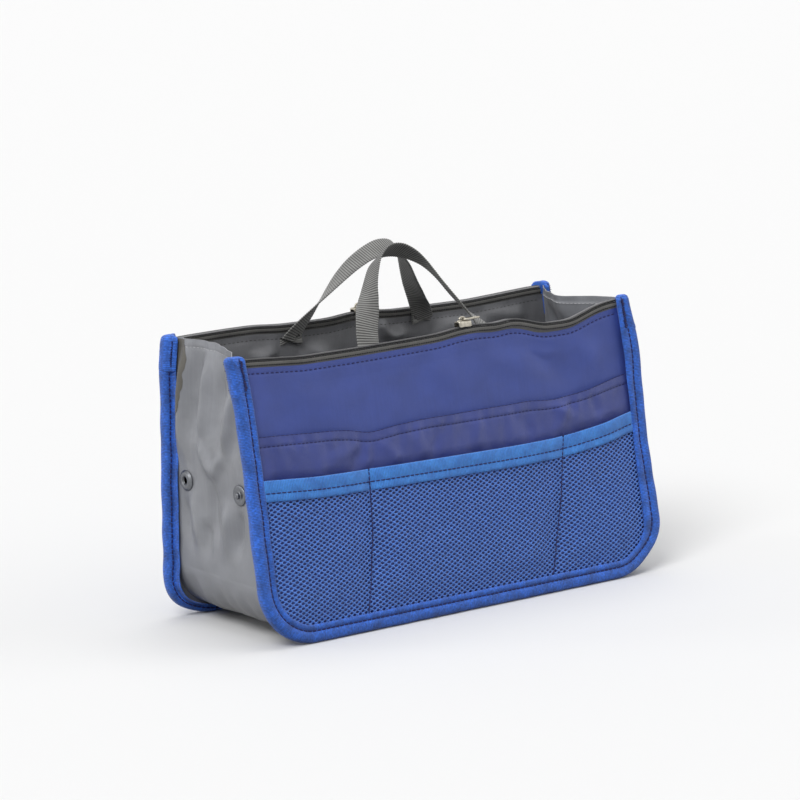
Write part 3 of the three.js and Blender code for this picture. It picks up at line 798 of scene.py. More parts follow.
def mesh_cells(which):
    """Centres of the mesh's holes, in quarters of its pitch and its repeat."""
    columns = int(140 / MESH_PITCH) + 1
    rows = range(int(MESH_LOW / (MESH_REPEAT / 2)), int(MESH_HIGH / (MESH_REPEAT / 2)) + 8)
    cells = np.array([(4 * column + 2 * (row % 2), 2 * row) for row in rows
                      for column in range(-columns, columns + 1)])
    x, up = (cells * QUARTER).T
    inside = (np.abs(x) + MESH_PITCH / 2 < half_width(up - 1.4, 3.4)) & (up > MESH_LOW + 1.4)
    return cells[inside & (up < BAND_TOP[which](x) - 2.5)]


def make_mesh_pocket(which):
    """Strands round every hole, with a front and a back that meet at the hole's rim."""
    cells = mesh_cells(which)
    knots, outer = np.unique((cells[:, None] + ROUND_CELL).reshape(-1, 2), axis=0, return_inverse=True)
    outer = outer.reshape(-1, 8)
    x, up = (knots * QUARTER).T
    oval = together(HOLE_WIDTH / 2 * np.cos(circle(8)), HOLE_HEIGHT / 2 * np.sin(circle(8)))
    hole_x, hole_up = (cells[:, None] * QUARTER + oval).reshape(-1, 2).T
    crossing = np.where(knots.sum(axis=1) % 2 == 0, 1.0, 0.75)
    out = mesh_out(which, x, up)
    points = np.concatenate([
        on_wall(which, x, out + STRAND * crossing, up), on_wall(which, x, out - STRAND, up),
        on_wall(which, hole_x, mesh_out(which, hole_x, hole_up), hole_up)])
    count = len(knots)
    inner = (2 * count + np.arange(len(hole_x))).reshape(-1, 8)
    after = np.roll(np.arange(8), -1)
    front = np.stack([outer, outer[:, after], inner[:, after], inner], axis=-1).reshape(-1, 4)
    back = np.stack([outer + count, inner, inner[:, after], outer[:, after] + count], axis=-1).reshape(-1, 4)
    faces = np.concatenate([front, back])
    if FACING[which] > 0:
        faces = faces[:, ::-1]
    uvs = np.concatenate([together(x, up)] * 2 + [together(hole_x, hole_up)])
    piece = make_mesh(f"{which}_mesh_cloth", points, faces, uvs)
    dress(piece, MESH, f"{which}_wall", "mesh_blue", f"{which}_mesh_pocket")
    for number in (0, 1):
        up = np.linspace(8, 97, 140)
        x = divider_x(which, number, up)
        limit = BAND_TOP[which](x) + 1.5
        up = np.minimum(up, limit)
        out = mesh_out(which, x, up) + 0.1
        out = out + smoothstep(limit - 15, limit - 13, up) * (band_out(which, x, up) + 0.5 - out)
        sew(which, f"divider_stitches_{number + 1}", x, out, up, "mesh_blue", 2.6, 2.7, 0.44)


def band_out(which, x, up):
    held = divider_pull(which, x, up, 5)
    return mesh_out(which, x, np.minimum(up, BAND_TOP[which](x) - 3)) + 0.35 - 0.5 * held


def make_band(which):
    """The light tape folded over the mesh pocket's top edge."""
    profile = np.array([
        (0.0, 0.35), (0.6, 0.5), (3.0, 0.62), (6.6, 0.52), (7.2, 0.3), (7.8, 0.52), (10.6, 0.6), (11.8, 0.5),
        (BAND_HEIGHT, 0.25), (11.9, -0.05), (9.0, -0.1), (3.0, -0.45), (0.6, -0.5), (0.0, -0.3),
        (-0.25, 0.0)])
    down, lift = profile.T
    x = np.linspace(-141, 141, 260)[:, None]
    x, up = np.broadcast_arrays(x, BAND_TOP[which](x) - down)
    points = on_wall(which, x, band_out(which, x, up) + lift + 0.12 * ripples(x, up, 14, 31), up)
    uv = together(x, arc_lengths(profile))
    piece = skin_piece(f"{which}_band_tape", points, uv, flip=FACING[which] < 0)
    dress(piece, BAND, f"{which}_wall", "mesh_band_blue", f"{which}_mesh_band")
    # The second row is no stitching: a dark thread along the band's top edge, painted shadow for the gap
    # above the band
    sew_rows(which, BAND_TOP[which], band_out, "mesh_band_blue", 400,
             [("band_stitches", 7.2, 0.45, 3.3, 3.0, 0.38), ("band_edge_shadow_line", -0.2, -0.2, 3.0, 3.0, 0.26)])


# Edge binding
BINDING_FACE = 10.6
BINDING_STITCH = 6.9


# The folded tape's section: distance in from the wall's edge, and distance out from its middle
BINDING_SECTION = np.array([
    (BINDING_FACE, 3.75), (BINDING_FACE + 0.1, 4.2), (10.1, 4.85), (9.0, 5.15), (7.8, 4.8), (7.2, 4.15),
    (BINDING_STITCH, 3.95), (6.6, 4.15), (6.0, 4.8), (4.6, 5.2), (3.0, 5.15), (1.4, 4.7), (0.35, 3.6),
    (0.0, 1.6), (0.2, -0.6), (0.9, -2.0), (2.2, -2.75), (3.6, -2.8), (4.6, -2.9), (4.85, -3.6), (4.9, -5.0),
    (5.0, -6.6), (5.35, -7.0), (5.75, -6.6), (5.85, -5.0), (5.8, -3.0), (5.2, -2.1), (3.5, -1.95),
    (1.6, -1.6), (1.0, 0.0), (1.0, 2.6), (2.0, 3.6), (6.0, 3.7)])


def edge_stations(step):
    """Places and inward directions down one side of a wall, round its lower corners and up the other."""
    half, radius = WALL_LENGTH / 2, CORNER_RADIUS
    side = np.arange(WALL_HEIGHT, radius, -step)
    arc = np.linspace(0, math.pi / 2, int(radius * math.pi / 2 / step))
    cos, sin = np.cos(arc), np.sin(arc)
    base = np.linspace(-half + radius, half - radius, int((WALL_LENGTH - 2 * radius) / step))[1:-1]
    return np.concatenate([
        together(-half, side, 1.0, 0.0),
        together(-half + radius - radius * cos, radius - radius * sin, cos, sin),
        together(base, 0.0, 0.0, 1.0),
        together(half - radius + radius * sin, radius - radius * cos, -sin, cos),
        together(half, side[::-1], -1.0, 0.0)])


def binding_place(which, station, depth, out):
    """World places of section points at edge stations, with the tape's uneven run."""
    x, up, dx, dup = (station[:, i, None] for i in range(4))
    run = arc_lengths(station[:, :2])[:, None]
    seed = 41 if which == "front" else 43
    swell = 0.22 * ripples(run, depth * 0.5, 17, seed)
    stray = 0.8 * ripples(run, 0 * run, 75, seed + 1) * smoothstep(8, 40, up) * smoothstep(166, 140, up)
    stray = stray + 0.25 * ripples(run, 0 * run, 22, seed + 2)
    depth_now = depth + stray * np.where(depth > 5.9, 0.35, 1.0) * smoothstep(0, 30, up)
    depth_now = depth_now - by_side(EDGE_SWELL, which, x, up) * smoothstep(BINDING_FACE, 6, depth)
    out_now = out + np.sign(out) * swell * (np.abs(out) > 1)
    return on_wall(which, x + dx * depth_now, out_now, up + dup * depth_now)


def make_binding(which):
    station = edge_stations(2.0)
    points = binding_place(which, station, BINDING_SECTION[:, 0], BINDING_SECTION[:, 1])
    uv = together(arc_lengths(station[:, :2])[:, None], arc_lengths(BINDING_SECTION))
    piece = skin_piece(f"{which}_binding", points, uv, flip=FACING[which] > 0)
    soften(piece)
    dress(piece, BINDING, f"{which}_wall", "binding_blue", f"{which}_edge_binding")
    for label, deep, out, way in (("outer", BINDING_STITCH, 4.2, 1), ("inner", 3.1, -2.85, -1)):
        path = binding_place(which, station, deep, out)[:, 0]
        name = f"{which}_binding_stitches_{label}"
        stitches = stitch_line(name, path, way * wall_normal(which), 3.2, 2.95, 0.42)
        dress(stitches, NAVY_THREAD, f"{which}_wall", "binding_blue")
    for side in (-1, 1):
        make_binding_end(which, side)


# How much the folded ends of the tape stand proud of it: 1 for a thick folded end, 0 for a neat one
END_SWELL = {("front", -1): 1.0, ("front", 1): 0.0, ("rear", -1): 1.0, ("rear", 1): 0.5}


END_FOOT = {"front": 146.0, "rear": 148.5}
# The folded end's section, written like the tape's: its outside, how it ends inside the bag to the left
# and to the right, and its way back
END_OUTSIDE = [(-0.35, 1.2), (-0.2, 3.5), (0.7, 4.95), (3.0, 5.5), (5.4, 5.3), (6.9, 4.7), (8.4, 5.4),
               (10.0, 5.3), (10.6, 4.3), (10.4, 3.4), (9.2, 0.5), (7.0, -1.9), (6.0, -3.4)]
END_INSIDE = {-1: [(5.9, -6.8), (5.2, -7.5), (4.0, -6.2)], 1: [(5.4, -3.7), (4.8, -3.8), (3.8, -3.7)]}
END_BACK = [(2.4, -3.8), (0.6, -2.8), (-0.3, -1.0)]
END_TACK_OUT = {-1: -4.9, 1: -3.95}


def make_binding_end(which, side):
    """The tape's end, folded over the top of the binding and tacked down along its groove."""
    end, swell, foot = SIDE_NAME[side], END_SWELL[which, side], END_FOOT[which]
    section = np.array(END_OUTSIDE + END_INSIDE[side] + END_BACK)
    centre = section.mean(axis=0)
    ups = np.concatenate([[foot, foot + 0.3, foot + 1.2], np.linspace(foot + 3.5, 164.5, 8),
                          [166.4, 167.7, 168.4, 168.6]])
    pinch = np.concatenate([[1.1, 0.5, 0.15], 0.1 + 0.1 * (np.arange(8) % 2), [0.25, 0.8, 1.9, 3.0]])
    share = 1 - (pinch + 0.45 * (1 - swell))[:, None, None] / np.array([6.0, 4.4])
    deep, out = np.moveaxis(centre + (section - centre) * share, -1, 0)
    up = ups[:, None]
    rough = 0.34 * ripples(deep * 1.2 + 30 * side, out + 1.6 * up, 6, 51) * swell
    depth = deep - EDGE_SWELL[which, side](up) * smoothstep(BINDING_FACE, 6, deep) + rough
    slope = 1.1 * np.sin(up) * (up < foot + 2) + 0.35 * rough
    rings = on_wall(which, side * (WALL_LENGTH / 2 - depth), out + 0.7 * rough, up + slope)
    uv = together(up, arc_lengths(section))
    piece = skin_piece(f"{which}_binding_end_{end}", rings, uv, flip=FACING[which] * side < 0)
    soften(piece)
    dress(piece, BINDING, f"{which}_wall", "binding_blue")
    draw = np.random.default_rng(61 + side)
    slanting = np.array([0.83 * side, -0.55 * FACING[which], 0])
    tacks = []
    for label, middle, out, away in (("column", BINDING_STITCH, 5.15, wall_normal(which)),
                                     ("back", 2.9, END_TACK_OUT[side], slanting)):
        up = np.arange(foot + 2.5, 166, 0.62)
        deep = np.array([middle + 0.9 * (1 if i % 2 else -1) + draw.uniform(-0.35, 0.35)
                         for i in range(len(up))])
        path = on_wall(which, side * (WALL_LENGTH / 2 - deep), out, up)
        tacks.append(stitch_line(f"{which}_{label}_{end}", path, away, 1.9, 2.1, 0.4))
    tack = join(f"{which}_binding_tack_{end}", tacks)
    dress(tack, NAVY_THREAD, f"{which}_wall", "binding_blue")


# Zip: two tapes and two coils along each wall's top, with a slider and its wire pull
ZIP_HALF = 136.5
SLIDER_X = {"front": 21.5, "rear": -3.0}


def zip_gap(which, x):
    """How far each side of the zip stands open: only the front zip, to the right of its slider."""
    if which == "rear":
        return 0 * x
    return 1.1 * smoothstep(24, 40, x) * (1 - smoothstep(84, 128, x))


# A tape's section: distance out from the zip's middle, and height
ZIP_SECTION = np.array([(0.5, 164.7), (1.3, 164.85), (1.95, 164.6), (2.15, 163.9), (1.95, 162.9),
                        (1.45, 161.8), (1.1, 160.9), (0.95, 159.0), (0.9, 155.0), (0.9, 151.0)])


def make_zip(which):
    x = np.arange(-ZIP_HALF, ZIP_HALF + 0.1, 1.0)
    gap, along = zip_gap(which, x), x[:, None]
    tape_out, up = ZIP_SECTION.T
    uv = together(arc_lengths(ZIP_SECTION), along)
    for name, side in (("outer", 1), ("inner", -1)):
        spread = gap[:, None] * smoothstep(159, 164, up)
        wave = 0.12 * ripples(along, up, 18, 61 + side) * smoothstep(165, 162, up)
        points = on_wall(which, along, side * (tape_out + spread + wave), up)
        piece = cloth_piece(f"{which}_zip_tape_cloth_{name}", points, uv, 0.38)
        dress(piece, ZIP_TAPE, f"{which}_wall", "zip_tape_grey", f"{which}_zip_tape_{name}")
        # Real rows of stitching, in near-black thread that also paints the shade in the creases beside the
        # coil and at the tape's knee
        seams = []
        for low, out in ((164.75, 2.0), (162.4, 1.75)):
            path = on_wall(which, x, side * (out + gap * smoothstep(159, 164, low)), low)
            seams.append(stitch_line("seam", path, side * wall_normal(which), 1.7, 2.0, 0.42))
        dress(join(f"{which}_zip_seam_{name}", seams), DARK_THREAD, f"{which}_wall", "zip_tape_grey")
        make_coil(which, name, side)


def make_coil(which, name, side):
    """One row of the coil: a rounded bead with a rib for each turn of the coil."""
    pitch, angle = 1.15, circle(10)
    x = np.arange(-ZIP_HALF, ZIP_HALF, pitch / 6)[:, None]
    turn = 0.5 + 0.5 * np.cos(2 * math.pi * (x / pitch + (0.5 if side > 0 else 0)))
    girth = 0.82 + 0.18 * turn**0.6
    out = side * (1.08 + zip_gap(which, x)) + 0.9 * girth * np.cos(angle)
    up = (COIL_FOOT + COIL_TOP) / 2 + 0.66 * girth * np.sin(angle)
    points = on_wall(which, x, out, up)
    piece = skin_piece(f"{which}_zip_coil_row_{name}", points, together(x, angle), flip=FACING[which] < 0)
    dress(piece, COIL[name], f"{which}_wall", "zip_coil_grey", f"{which}_zip_coil_{name}")


def local_frame(which, out, up):
    """A place in a wall and the wall's own directions, without its sag, as a 4x4 matrix in millimetres."""
    lean, facing = LEAN[which], FACING[which]
    outward, upward = wall_normal(which), np.array([0, -facing * math.sin(lean), math.cos(lean)])
    matrix = np.eye(4)
    matrix[:3, 1], matrix[:3, 2] = outward, upward
    matrix[:3, 3] = np.array([0, facing * WALL_FOOT, -FOOT_CUT]) + outward * out + upward * up
    return matrix


def moved(points, matrix):
    return np.asarray(points) @ matrix[:3, :3].T + matrix[:3, 3]


def wire_piece(name, path, radius, closed=False):
    """A round wire along a path."""
    if closed:
        tangent = unit(np.roll(path, -1, axis=0) - np.roll(path, 1, axis=0))
    else:
        tangent = unit(np.gradient(path, axis=0))
    side = unit(np.cross(tangent, np.array([0.31, 0.17, 0.93])))
    other, angle = np.cross(tangent, side), circle(12)[:, None]
    rings = path[:, None] + (side[:, None] * np.cos(angle) + other[:, None] * np.sin(angle)) * radius
    if not closed:
        return skin_piece(name, rings)
    rows, cols = rings.shape[:2]
    faces = grid_faces(rows + 1, cols, wrap=True) % (rows * cols)
    return make_mesh(name, rings.reshape(-1, 3), faces, np.zeros((rows * cols, 2)))


# The slider's section (out, up), and its places along the zip with the section's width and depth there
SADDLE = np.array([
    (-3.4, 163.5), (-3.4, 166.6), (-3.15, 167.3), (-2.6, 167.75), (0, 167.85), (2.6, 167.75), (3.15, 167.3),
    (3.4, 166.6), (3.4, 163.5), (3.1, 163.2), (2.7, 163.5), (2.65, 166.2), (2.3, 166.75), (0, 166.85),
    (-2.3, 166.75), (-2.65, 166.2), (-2.7, 163.5), (-3.1, 163.2)])
SADDLE_ALONG = [(-4.4, 0.7, 0.4), (-4.1, 0.78, 0.6), (-3.4, 0.84, 0.7), (-1.2, 0.82, 0.66), (1.2, 0.9, 0.7),
                (3.0, 0.94, 0.74), (4.0, 0.9, 0.66), (4.4, 0.8, 0.45)]
SADDLE_MIDDLE = 166.3
# Corners of the pull's ring: place along it, radius, side, first angle, share of its width, and lift
PULL_HALF, PULL_UP = 3.5, 168.7
PULL_CORNERS = [(2.0, 2.0, -1, 180, 0.72, 0), (8.4, 2.6, -1, 270, 1, 0.05), (8.4, 2.6, 1, 0, 1, 0.05),
                (2.0, 2.0, 1, 90, 0.72, 0)]


def make_slider(which):
    """A plated slider: a waisted saddle over the coils, with a wire bail on top."""
    x0, matrix = SLIDER_X[which], local_frame(which, 0, 0)
    out, up = SADDLE.T
    low = up - SADDLE_MIDDLE
    rings = np.array([together(x0 + along, out * wide, SADDLE_MIDDLE + low * np.where(low < 0, tall, 1))
                      for along, wide, tall in SADDLE_ALONG])
    body = skin_piece("saddle", moved(rings, matrix), flip=FACING[which] > 0)
    arch = np.linspace(0, math.pi, 13)
    path = together(x0 + 2.3 * np.cos(arch) - 0.2, 0, 167.5 + 2.6 * np.sin(arch) ** 0.7)
    bail = wire_piece("bail", moved(path, matrix), 0.62)
    path = np.array([(x0 - 4.0, 0, 167.8), (x0 - 2.0, 0, 168.0), (x0 + 2.4, 0, 168.0), (x0 + 4.2, 0, 167.8)])
    spine = wire_piece("spine", moved(resampled(path, 9), matrix), 0.5)
    piece = join(f"{which}_slider_body", [body, bail, spine])
    bevel = piece.modifiers.new("soft", "BEVEL")
    bevel.width, bevel.segments, bevel.limit_method = 0.12 * MM, 2, "ANGLE"
    dress(piece, SLIDER_METAL, f"{which}_zip_slider", "slider_metal", f"{which}_zip_slider")
    make_pull(which, x0, matrix)


def make_pull(which, x0, matrix):
    """The wire pull: a long ring, a little wider at its free end, whose near end passes through the bail."""
    path = []
    for along, radius, side, start, wide, lift in PULL_CORNERS:
        angle = np.radians(start + 15 * np.arange(7))
        out = side * (PULL_HALF * wide - radius) + radius * np.sin(angle)
        path.append(together(x0 + along + radius * np.cos(angle), out, PULL_UP + lift))
    path = moved(np.concatenate(path + [path[0][:1]]), matrix)
    piece = wire_piece(f"{which}_pull_ring", resampled(path, 73)[:-1], 0.6, closed=True)
    dress(piece, SLIDER_METAL, f"{which}_zip_pull", "slider_metal", f"{which}_zip_pull")


# Lining and handles
HANDLE_X = {"front": (-44.0, 44.0), "rear": (-55.0, 42.0)}
HANDLE_LEAN = {"front": math.radians(18.4), "rear": math.radians(23.1)}
STRAP_WIDTH = 15.0
STRAP_THICKNESS = 1.2
STRAP_OUT = -3.7
STRAP_UP = 163.3
ROOT_LENGTH = 5.3
RIB = 1.45


# Folds that run from a handle's foot: how far they reach (x, up), and height
FOOT_FOLDS = [(-26, -6, -1.5), (-20, -20, 1.1), (19, -19, -1.3), (27, -7, -1.2), (8, -26, 1.0)]
LINING_FOLDS = {
    "front": [],
    "rear": [((11, 160), (17, 149), 3.2, -3.4), ((16, 149.5), (29, 153), 3.0, -3.0), ((-40, 150),
             (-20, 138), 4, -2.2),
             ((56, 154), (92, 148), 4, -2.2), ((-84, 150), (-66, 140), 4, -1.8), ((90, 156),
             (124, 150), 4, -1.6)],
}


def lining_out(which, x, up):
    """How far out the lining lies: it hangs a little into the bag, and puckers round the handles' ends."""
    free = smoothstep(141, 120, np.abs(x)) * smoothstep(8, 40, up)
    near_handle = sum(np.exp(-(((x - foot) / 13) ** 2 + ((up - 156) / 12) ** 2)) for foot in HANDLE_X[which])
    near_handle = np.minimum(near_handle, 1)
    slack = (0.7 + 0.5 * ripples(x, up * 0.5, 70, 71)) * free * smoothstep(160, 145, up)
    wrinkles = 0.5 * ripples(x, up * 0.4, 19, 72) * free * smoothstep(90, 140, up) * smoothstep(161, 152, up)
    out = -PANEL_OUT - np.maximum(slack, 0) * (1 - near_handle) + wrinkles * (1 - 0.7 * near_handle)
    over_seam = up - PANEL_TOP + PANEL_HEM
    pucker = 0.2 * ripples(x, up * 0.2, 8, 73) * bell(over_seam, 5) * (1 - near_handle)
    out = out + 0.25 * bell(over_seam, 0.9) - pucker
    folds = [((foot + 0.36 * dx, 152 + 0.2 * dup), (foot + dx, 152 + dup), 4, 1.3 * height)
             for foot in HANDLE_X[which] for dx, dup, height in FOOT_FOLDS]
    return np.minimum(with_folds(out, x, up, folds + LINING_FOLDS[which]), -1.15)


def make_lining(which):
    grid = wall_grid(2.0, panel_top, 1.9, 20, 46, 56)
    make_wall_cloth(which, "lining", grid, lining_out, LINING, "lining_grey", "lining_panel")
    sew_rows(which, panel_top, lining_out, "lining_grey", 400,
             [("lining_stitches", PANEL_HEM, -CLOTH / 2, 3.0, 2.2, 0.24)], material=GREY_THREAD, way=-1)


# Half of the strap's section, as shares of its half width and half thickness
STRAP_SECTION = [(-1, 0), (-0.985, 0.55), (-0.93, 0.92), (-0.62, 1.0), (-0.31, 0.97), (0, 1.0), (0.31, 0.97),
                 (0.62, 1.0), (0.93, 0.92), (0.985, 0.55)]


def strap_rings(path, wide, thin, narrow):
    """Rings of a ribbed strap along a path, with across-strap and thickness directions at each place."""
    run = arc_lengths(path)
    rib = 0.5 + 0.5 * np.cos(2 * math.pi * run / RIB)
    half_wide = (STRAP_WIDTH / 2 - 0.12 + 0.12 * rib) * narrow
    half_thin = STRAP_THICKNESS / 2 * (0.66 + 0.34 * rib**0.7)
    section = np.array(STRAP_SECTION + [(-a, -b) for a, b in STRAP_SECTION])
    rings = (path[:, None] + wide[:, None] * (section[:, :1] * half_wide[:, None, None])
             + thin[:, None] * (section[:, 1:] * half_thin[:, None, None]))
    return rings, together(run[:, None], arc_lengths(section * [7.5, 0.6]))


def strap_matrix(which):
    """The leaning frame in which a handle is drawn: X along the wall, Y outward, Z up the strap."""
    lean = HANDLE_LEAN[which]
    tilt = np.eye(4)
    tilt[1, 1], tilt[1, 2] = math.cos(lean), -math.sin(lean)
    tilt[2, 1], tilt[2, 2] = math.sin(lean), math.cos(lean)
    return local_frame(which, STRAP_OUT, STRAP_UP) @ tilt


# The handles' centre lines in their leaning frames, from fold to fold: x, place out of the frame's plane,
# height, and turn from flat against the wall in degrees. In the arch's upper part, 8 rows in front and 9
# at the rear are the result of another program, which fitted a smooth strap to edge points read by hand
# in the photograph. The other rows, and the places out of the plane, are chosen one by one
HANDLE_COURSE = {
    "front": [(-44, -4.0, -13.7, 0), (-44.1, -2.7, -9.9, 0), (-44, -1.9, 0, 0), (-43.2, -0.9, 5, 0),
              (-41.6, -0.6, 11, -2), (-39, -0.6, 17, 2), (-35.8, -0.6, 24, 42), (-33, -0.6, 30, 76),
              (-30.4, -0.6, 35.2, 84), (-22.4, -0.6, 48, 92), (-13.4, -0.6, 54.1, 102),
              (-3.9, -0.6, 54.1, 102),
              (5.4, -0.6, 49.5, 85), (13.2, -0.6, 42.1, 65), (18.7, -0.6, 33, 57), (24.2, -0.7, 22.3, 58),
              (31.9, -1.4, 10.3, 55), (36.3, -2.3, 5, 42), (39.9, -2.9, 0, 26), (42.6, -3, -6, 8),
              (43.9, -2.7, -9.9, 0), (44, -4.0, -13.7, 0)],
    "rear": [(-55, -3.0, -8.2, 0), (-54.2, -2.3, -5.6, 6), (-52.6, -2.4, -3.4, 12), (-49.6, -1.8, 0.6, 19),
             (-44.8, -1, 5.8, 27), (-36.8, -0.6, 17.7, 48), (-29.3, -0.6, 28.8, 67), (-21.5, -0.6, 37.8, 77),
             (-12.4, -0.6, 44.5, 83), (-1.7, -0.6, 48.3, 94), (8.7, -0.6, 46.8, 100), (16.9, -0.6, 38, 93),
             (24.6, -0.8, 23.8, 79), (30, -1.6, 14.5, 68), (34, -2.2, 7.7, 52), (38, -2.7, 1.5, 28),
             (40.2, -2.7, -2.4, 10), (41.6, -2.2, -5.6, 0), (42, -3.0, -8.2, 0)],
}
# How narrow the webbing looks where it curls while it turns quickly: place along x, and share of its width
CURL = {"front": [(-60, 1), (-40, 1), (-35.8, 0.84), (-31, 1), (60, 1)],
        "rear": [(-60, 1), (29, 1), (34, 0.84), (39, 0.8), (41.8, 1), (60, 1)]}
END_RISE = {"front": 12.5, "rear": 4.0}
END_OUT = -2.5


def smooth_path(knots, width, step):
    """Places along a soft curve near the knots, with their further values."""
    knots = np.array(knots, float)
    rows = np.vstack([2 * knots[0] - knots[1], knots, 2 * knots[-1] - knots[-2]])
    lengths = arc_lengths(rows[:, :3])
    at = np.arange(lengths[1], lengths[-2], step)
    return np.stack([soft_curve(list(zip(lengths, row)), width)(at) for row in rows.T], axis=-1)


def make_handle(which):
    """A handle in three pieces: the strap above its roots, and the two legs down to their sewn folds."""
    matrix, wall_frame = strap_matrix(which), local_frame(which, 0, 0)
    course = smooth_path(HANDLE_COURSE[which], 3.4, RIB / 6)
    leg, turn = course[:, :3], np.radians(course[:, 3:])
    tangent, outward = unit(np.gradient(leg, axis=0)), np.array([0.0, 1.0, 0.0])
    wide = unit(np.cross(outward, tangent)) * np.cos(turn) + outward * np.sin(turn)
    narrow = np.interp(leg[:, 0], *zip(*CURL[which]))
    rings, uv = strap_rings(leg, wide, np.cross(tangent, wide), narrow)
    rings = moved(rings, np.linalg.inv(wall_frame) @ matrix)
    above = np.nonzero(leg[:, 2] > ROOT_LENGTH / 2)[0]
    first, last = above[0], above[-1]
    parts = {"strap": slice(first, last + 1), "left": slice(0, first + 1), "right": slice(last, None)}
    for name, part in parts.items():
        part_rings, part_uv = rings[part], uv[part]
        if name == "strap":
            label, nodes = "handle_strap", ("handle", "handle_root_left", "handle_root_right")
        else:
            label, nodes = f"handle_end_{name}", (f"handle_anchor_{name}",)
            fold = folded_end(which, rings[0] if name == "left" else rings[-1])
            fold_uv = uv[0] + together(arc_lengths(fold[:, 0]), 0)[:, None]
            if name == "left":
                joined = [fold[::-1], part_rings], [fold_uv[::-1], part_uv]
            else:
                joined = [part_rings, fold], [part_uv, fold_uv]
            part_rings, part_uv = map(np.concatenate, joined)
        placed = moved(part_rings, wall_frame)
        piece = skin_piece(f"{which}_{label}", placed, part_uv, flip=FACING[which] < 0)
        dress(piece, WEBBING, None, "webbing_grey", *(f"{which}_{node}" for node in nodes))
        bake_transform(piece)
        if name != "strap":
            make_tack(which, name)


def folded_end(which, ring):
    """Rings that carry the strap on round its fold and up again, flat against the lining."""
    centre = ring.mean(axis=0)
    radius = max((END_OUT - centre[1]) / 2, 0.3)
    bend = np.linspace(0, math.pi, 10)[1:]
    rise = np.arange(0.25, END_RISE[which], RIB / 6)
    out = np.concatenate([radius * (1 - np.cos(bend)), 2 * radius + 0 * rise])
    up = np.concatenate([-radius * np.sin(bend), rise])
    turn = np.concatenate([bend, math.pi + 0 * rise])[:, None]
    x, y, z = (ring - centre).T
    turned = together(x, y * np.cos(turn) + z * np.sin(turn), z * np.cos(turn) - y * np.sin(turn))
    rings = centre + together(0, out, up)[:, None] + turned
    ribs = 0.8 + 0.2 * np.cos(2 * math.pi * arc_lengths(rings[:, 0]) / RIB)[:, None]
    middle = rings[:, :, 1].mean(axis=1, keepdims=True)
    rings[:, :, 1] = middle + (rings[:, :, 1] - middle) * ribs
    return rings


def make_tack(which, name):
    """Rows of stitches across the strap, just above its fold."""
    wall_frame = local_frame(which, 0, 0)
    foot = HANDLE_COURSE[which][0 if name == "left" else -1][:3]
    x, out, up = moved(foot, np.linalg.inv(wall_frame) @ strap_matrix(which))
    zigzag = np.array([(x - 6.6 + 1.2 * i, out - 0.62, up + (1.6 if i % 2 else 3.6)) for i in range(12)])
    path = moved(resampled(zigzag, 90), wall_frame)
    stitches = stitch_line(f"{which}_handle_tack_{name}", path, -wall_normal(which), 1.2, 1.2, 0.3)
    dress(stitches, GREY_THREAD, f"{which}_wall", "webbing_grey")


# Gussets, corners and bottom
GUSSET_TOP = 165.5
GUSSET_FOOT = 30.5
CORNER_TOP = 34.0
GUSSET_HEM = 4.4
SNAP_HEIGHT = 85.0
SNAP_FROM_SEAM = 12.5
STRIP_RADIUS = 27.8
STRIP_FLAT = 94.0


def seam_y(which, z):
    """Where a wall's seam with the gusset lies, at a height."""
    lean, facing = LEAN[which], FACING[which]
    foot_y = facing * (WALL_FOOT - BACK_OUT * math.cos(lean))
    foot_z = -FOOT_CUT - BACK_OUT * math.sin(lean)
    return foot_y - facing * (z - foot_z) * math.tan(lean)


def snap_place(which):
    away = SNAP_FROM_SEAM * (-1 if which == "rear" else 1)
    return seam_y(which, SNAP_HEIGHT) + away, SNAP_HEIGHT


# Folds of the left and the right gusset: from and to (y, z), width, and height into the bag
GUSSET_FOLDS = {
    -1: [((34, 168), (43, 92), 5, -2.6), ((16, 158), (19, 108), 4.5, -2.4), ((24, 156), (26, 110), 5, 1.6),
         ((-11, 146), (-4, 104), 4.5, -2.3), ((2, 150), (4, 108), 6, 1.5), ((21, 110), (9, 90), 4, -1.9),
         ((-4, 106), (9, 90), 4, -1.7), ((9, 88), (6, 52), 6, 1.5), ((29, 82), (24, 44), 5, -1.3),
         ((-7, 78), (-2, 40), 5, -1.4), ((-21, 78), (-14, 46), 3.5, 2.0), ((18, 64), (14, 36), 5, 1.2),
         ((-14, 140), (-16, 104), 4, 1.6), ((36, 76), (33, 42), 4, 1.2)],
    1: [((14, 150), (2, 100), 6, -1.8), ((26, 130), (16, 92), 5, 1.6), ((-12, 120), (-6, 60), 6, 1.4),
        ((30, 158), (24, 112), 5, -1.6), ((-8, 150), (-12, 112), 5, -1.5), ((12, 84), (8, 46), 6, -1.3)],
}

# How far the gussets' top edges bow into the bag and rise, from the rear seam (0) to the front seam (1)
GUSSET_BOW = {
    -1: soft_curve([(0, 0), (0.06, 1.4), (0.3, 5.4), (0.6, 6.4), (0.85, 4), (1, 0)], 0.03),
    1: soft_curve([(0, 0), (0.05, 2.2), (0.125, 5.6), (0.28, 11.4), (0.52, 16.6), (0.8, 8), (0.92, 3),
                   (1, 0)], 0.02),
}
GUSSET_LIFT = {
    -1: soft_curve([(0, 2.0), (0.3, 3.2), (0.5, 3.9), (0.8, 4.2), (0.93, 3.2), (1, 1.5)], 0.03),
    1: soft_curve([(0, 1.2), (0.3, 1.0), (0.56, 1.0), (0.8, 2.2), (1, 2.0)], 0.03),
}


GUSSET_BOW_FROM = {-1: 104, 1: 112}
# Heights between which the gusset's cloth grows from thin, behind the corner strip, to its own thickness
THIN_CLOTH = 0.05
THIN_UNTIL = (31.5, 37)


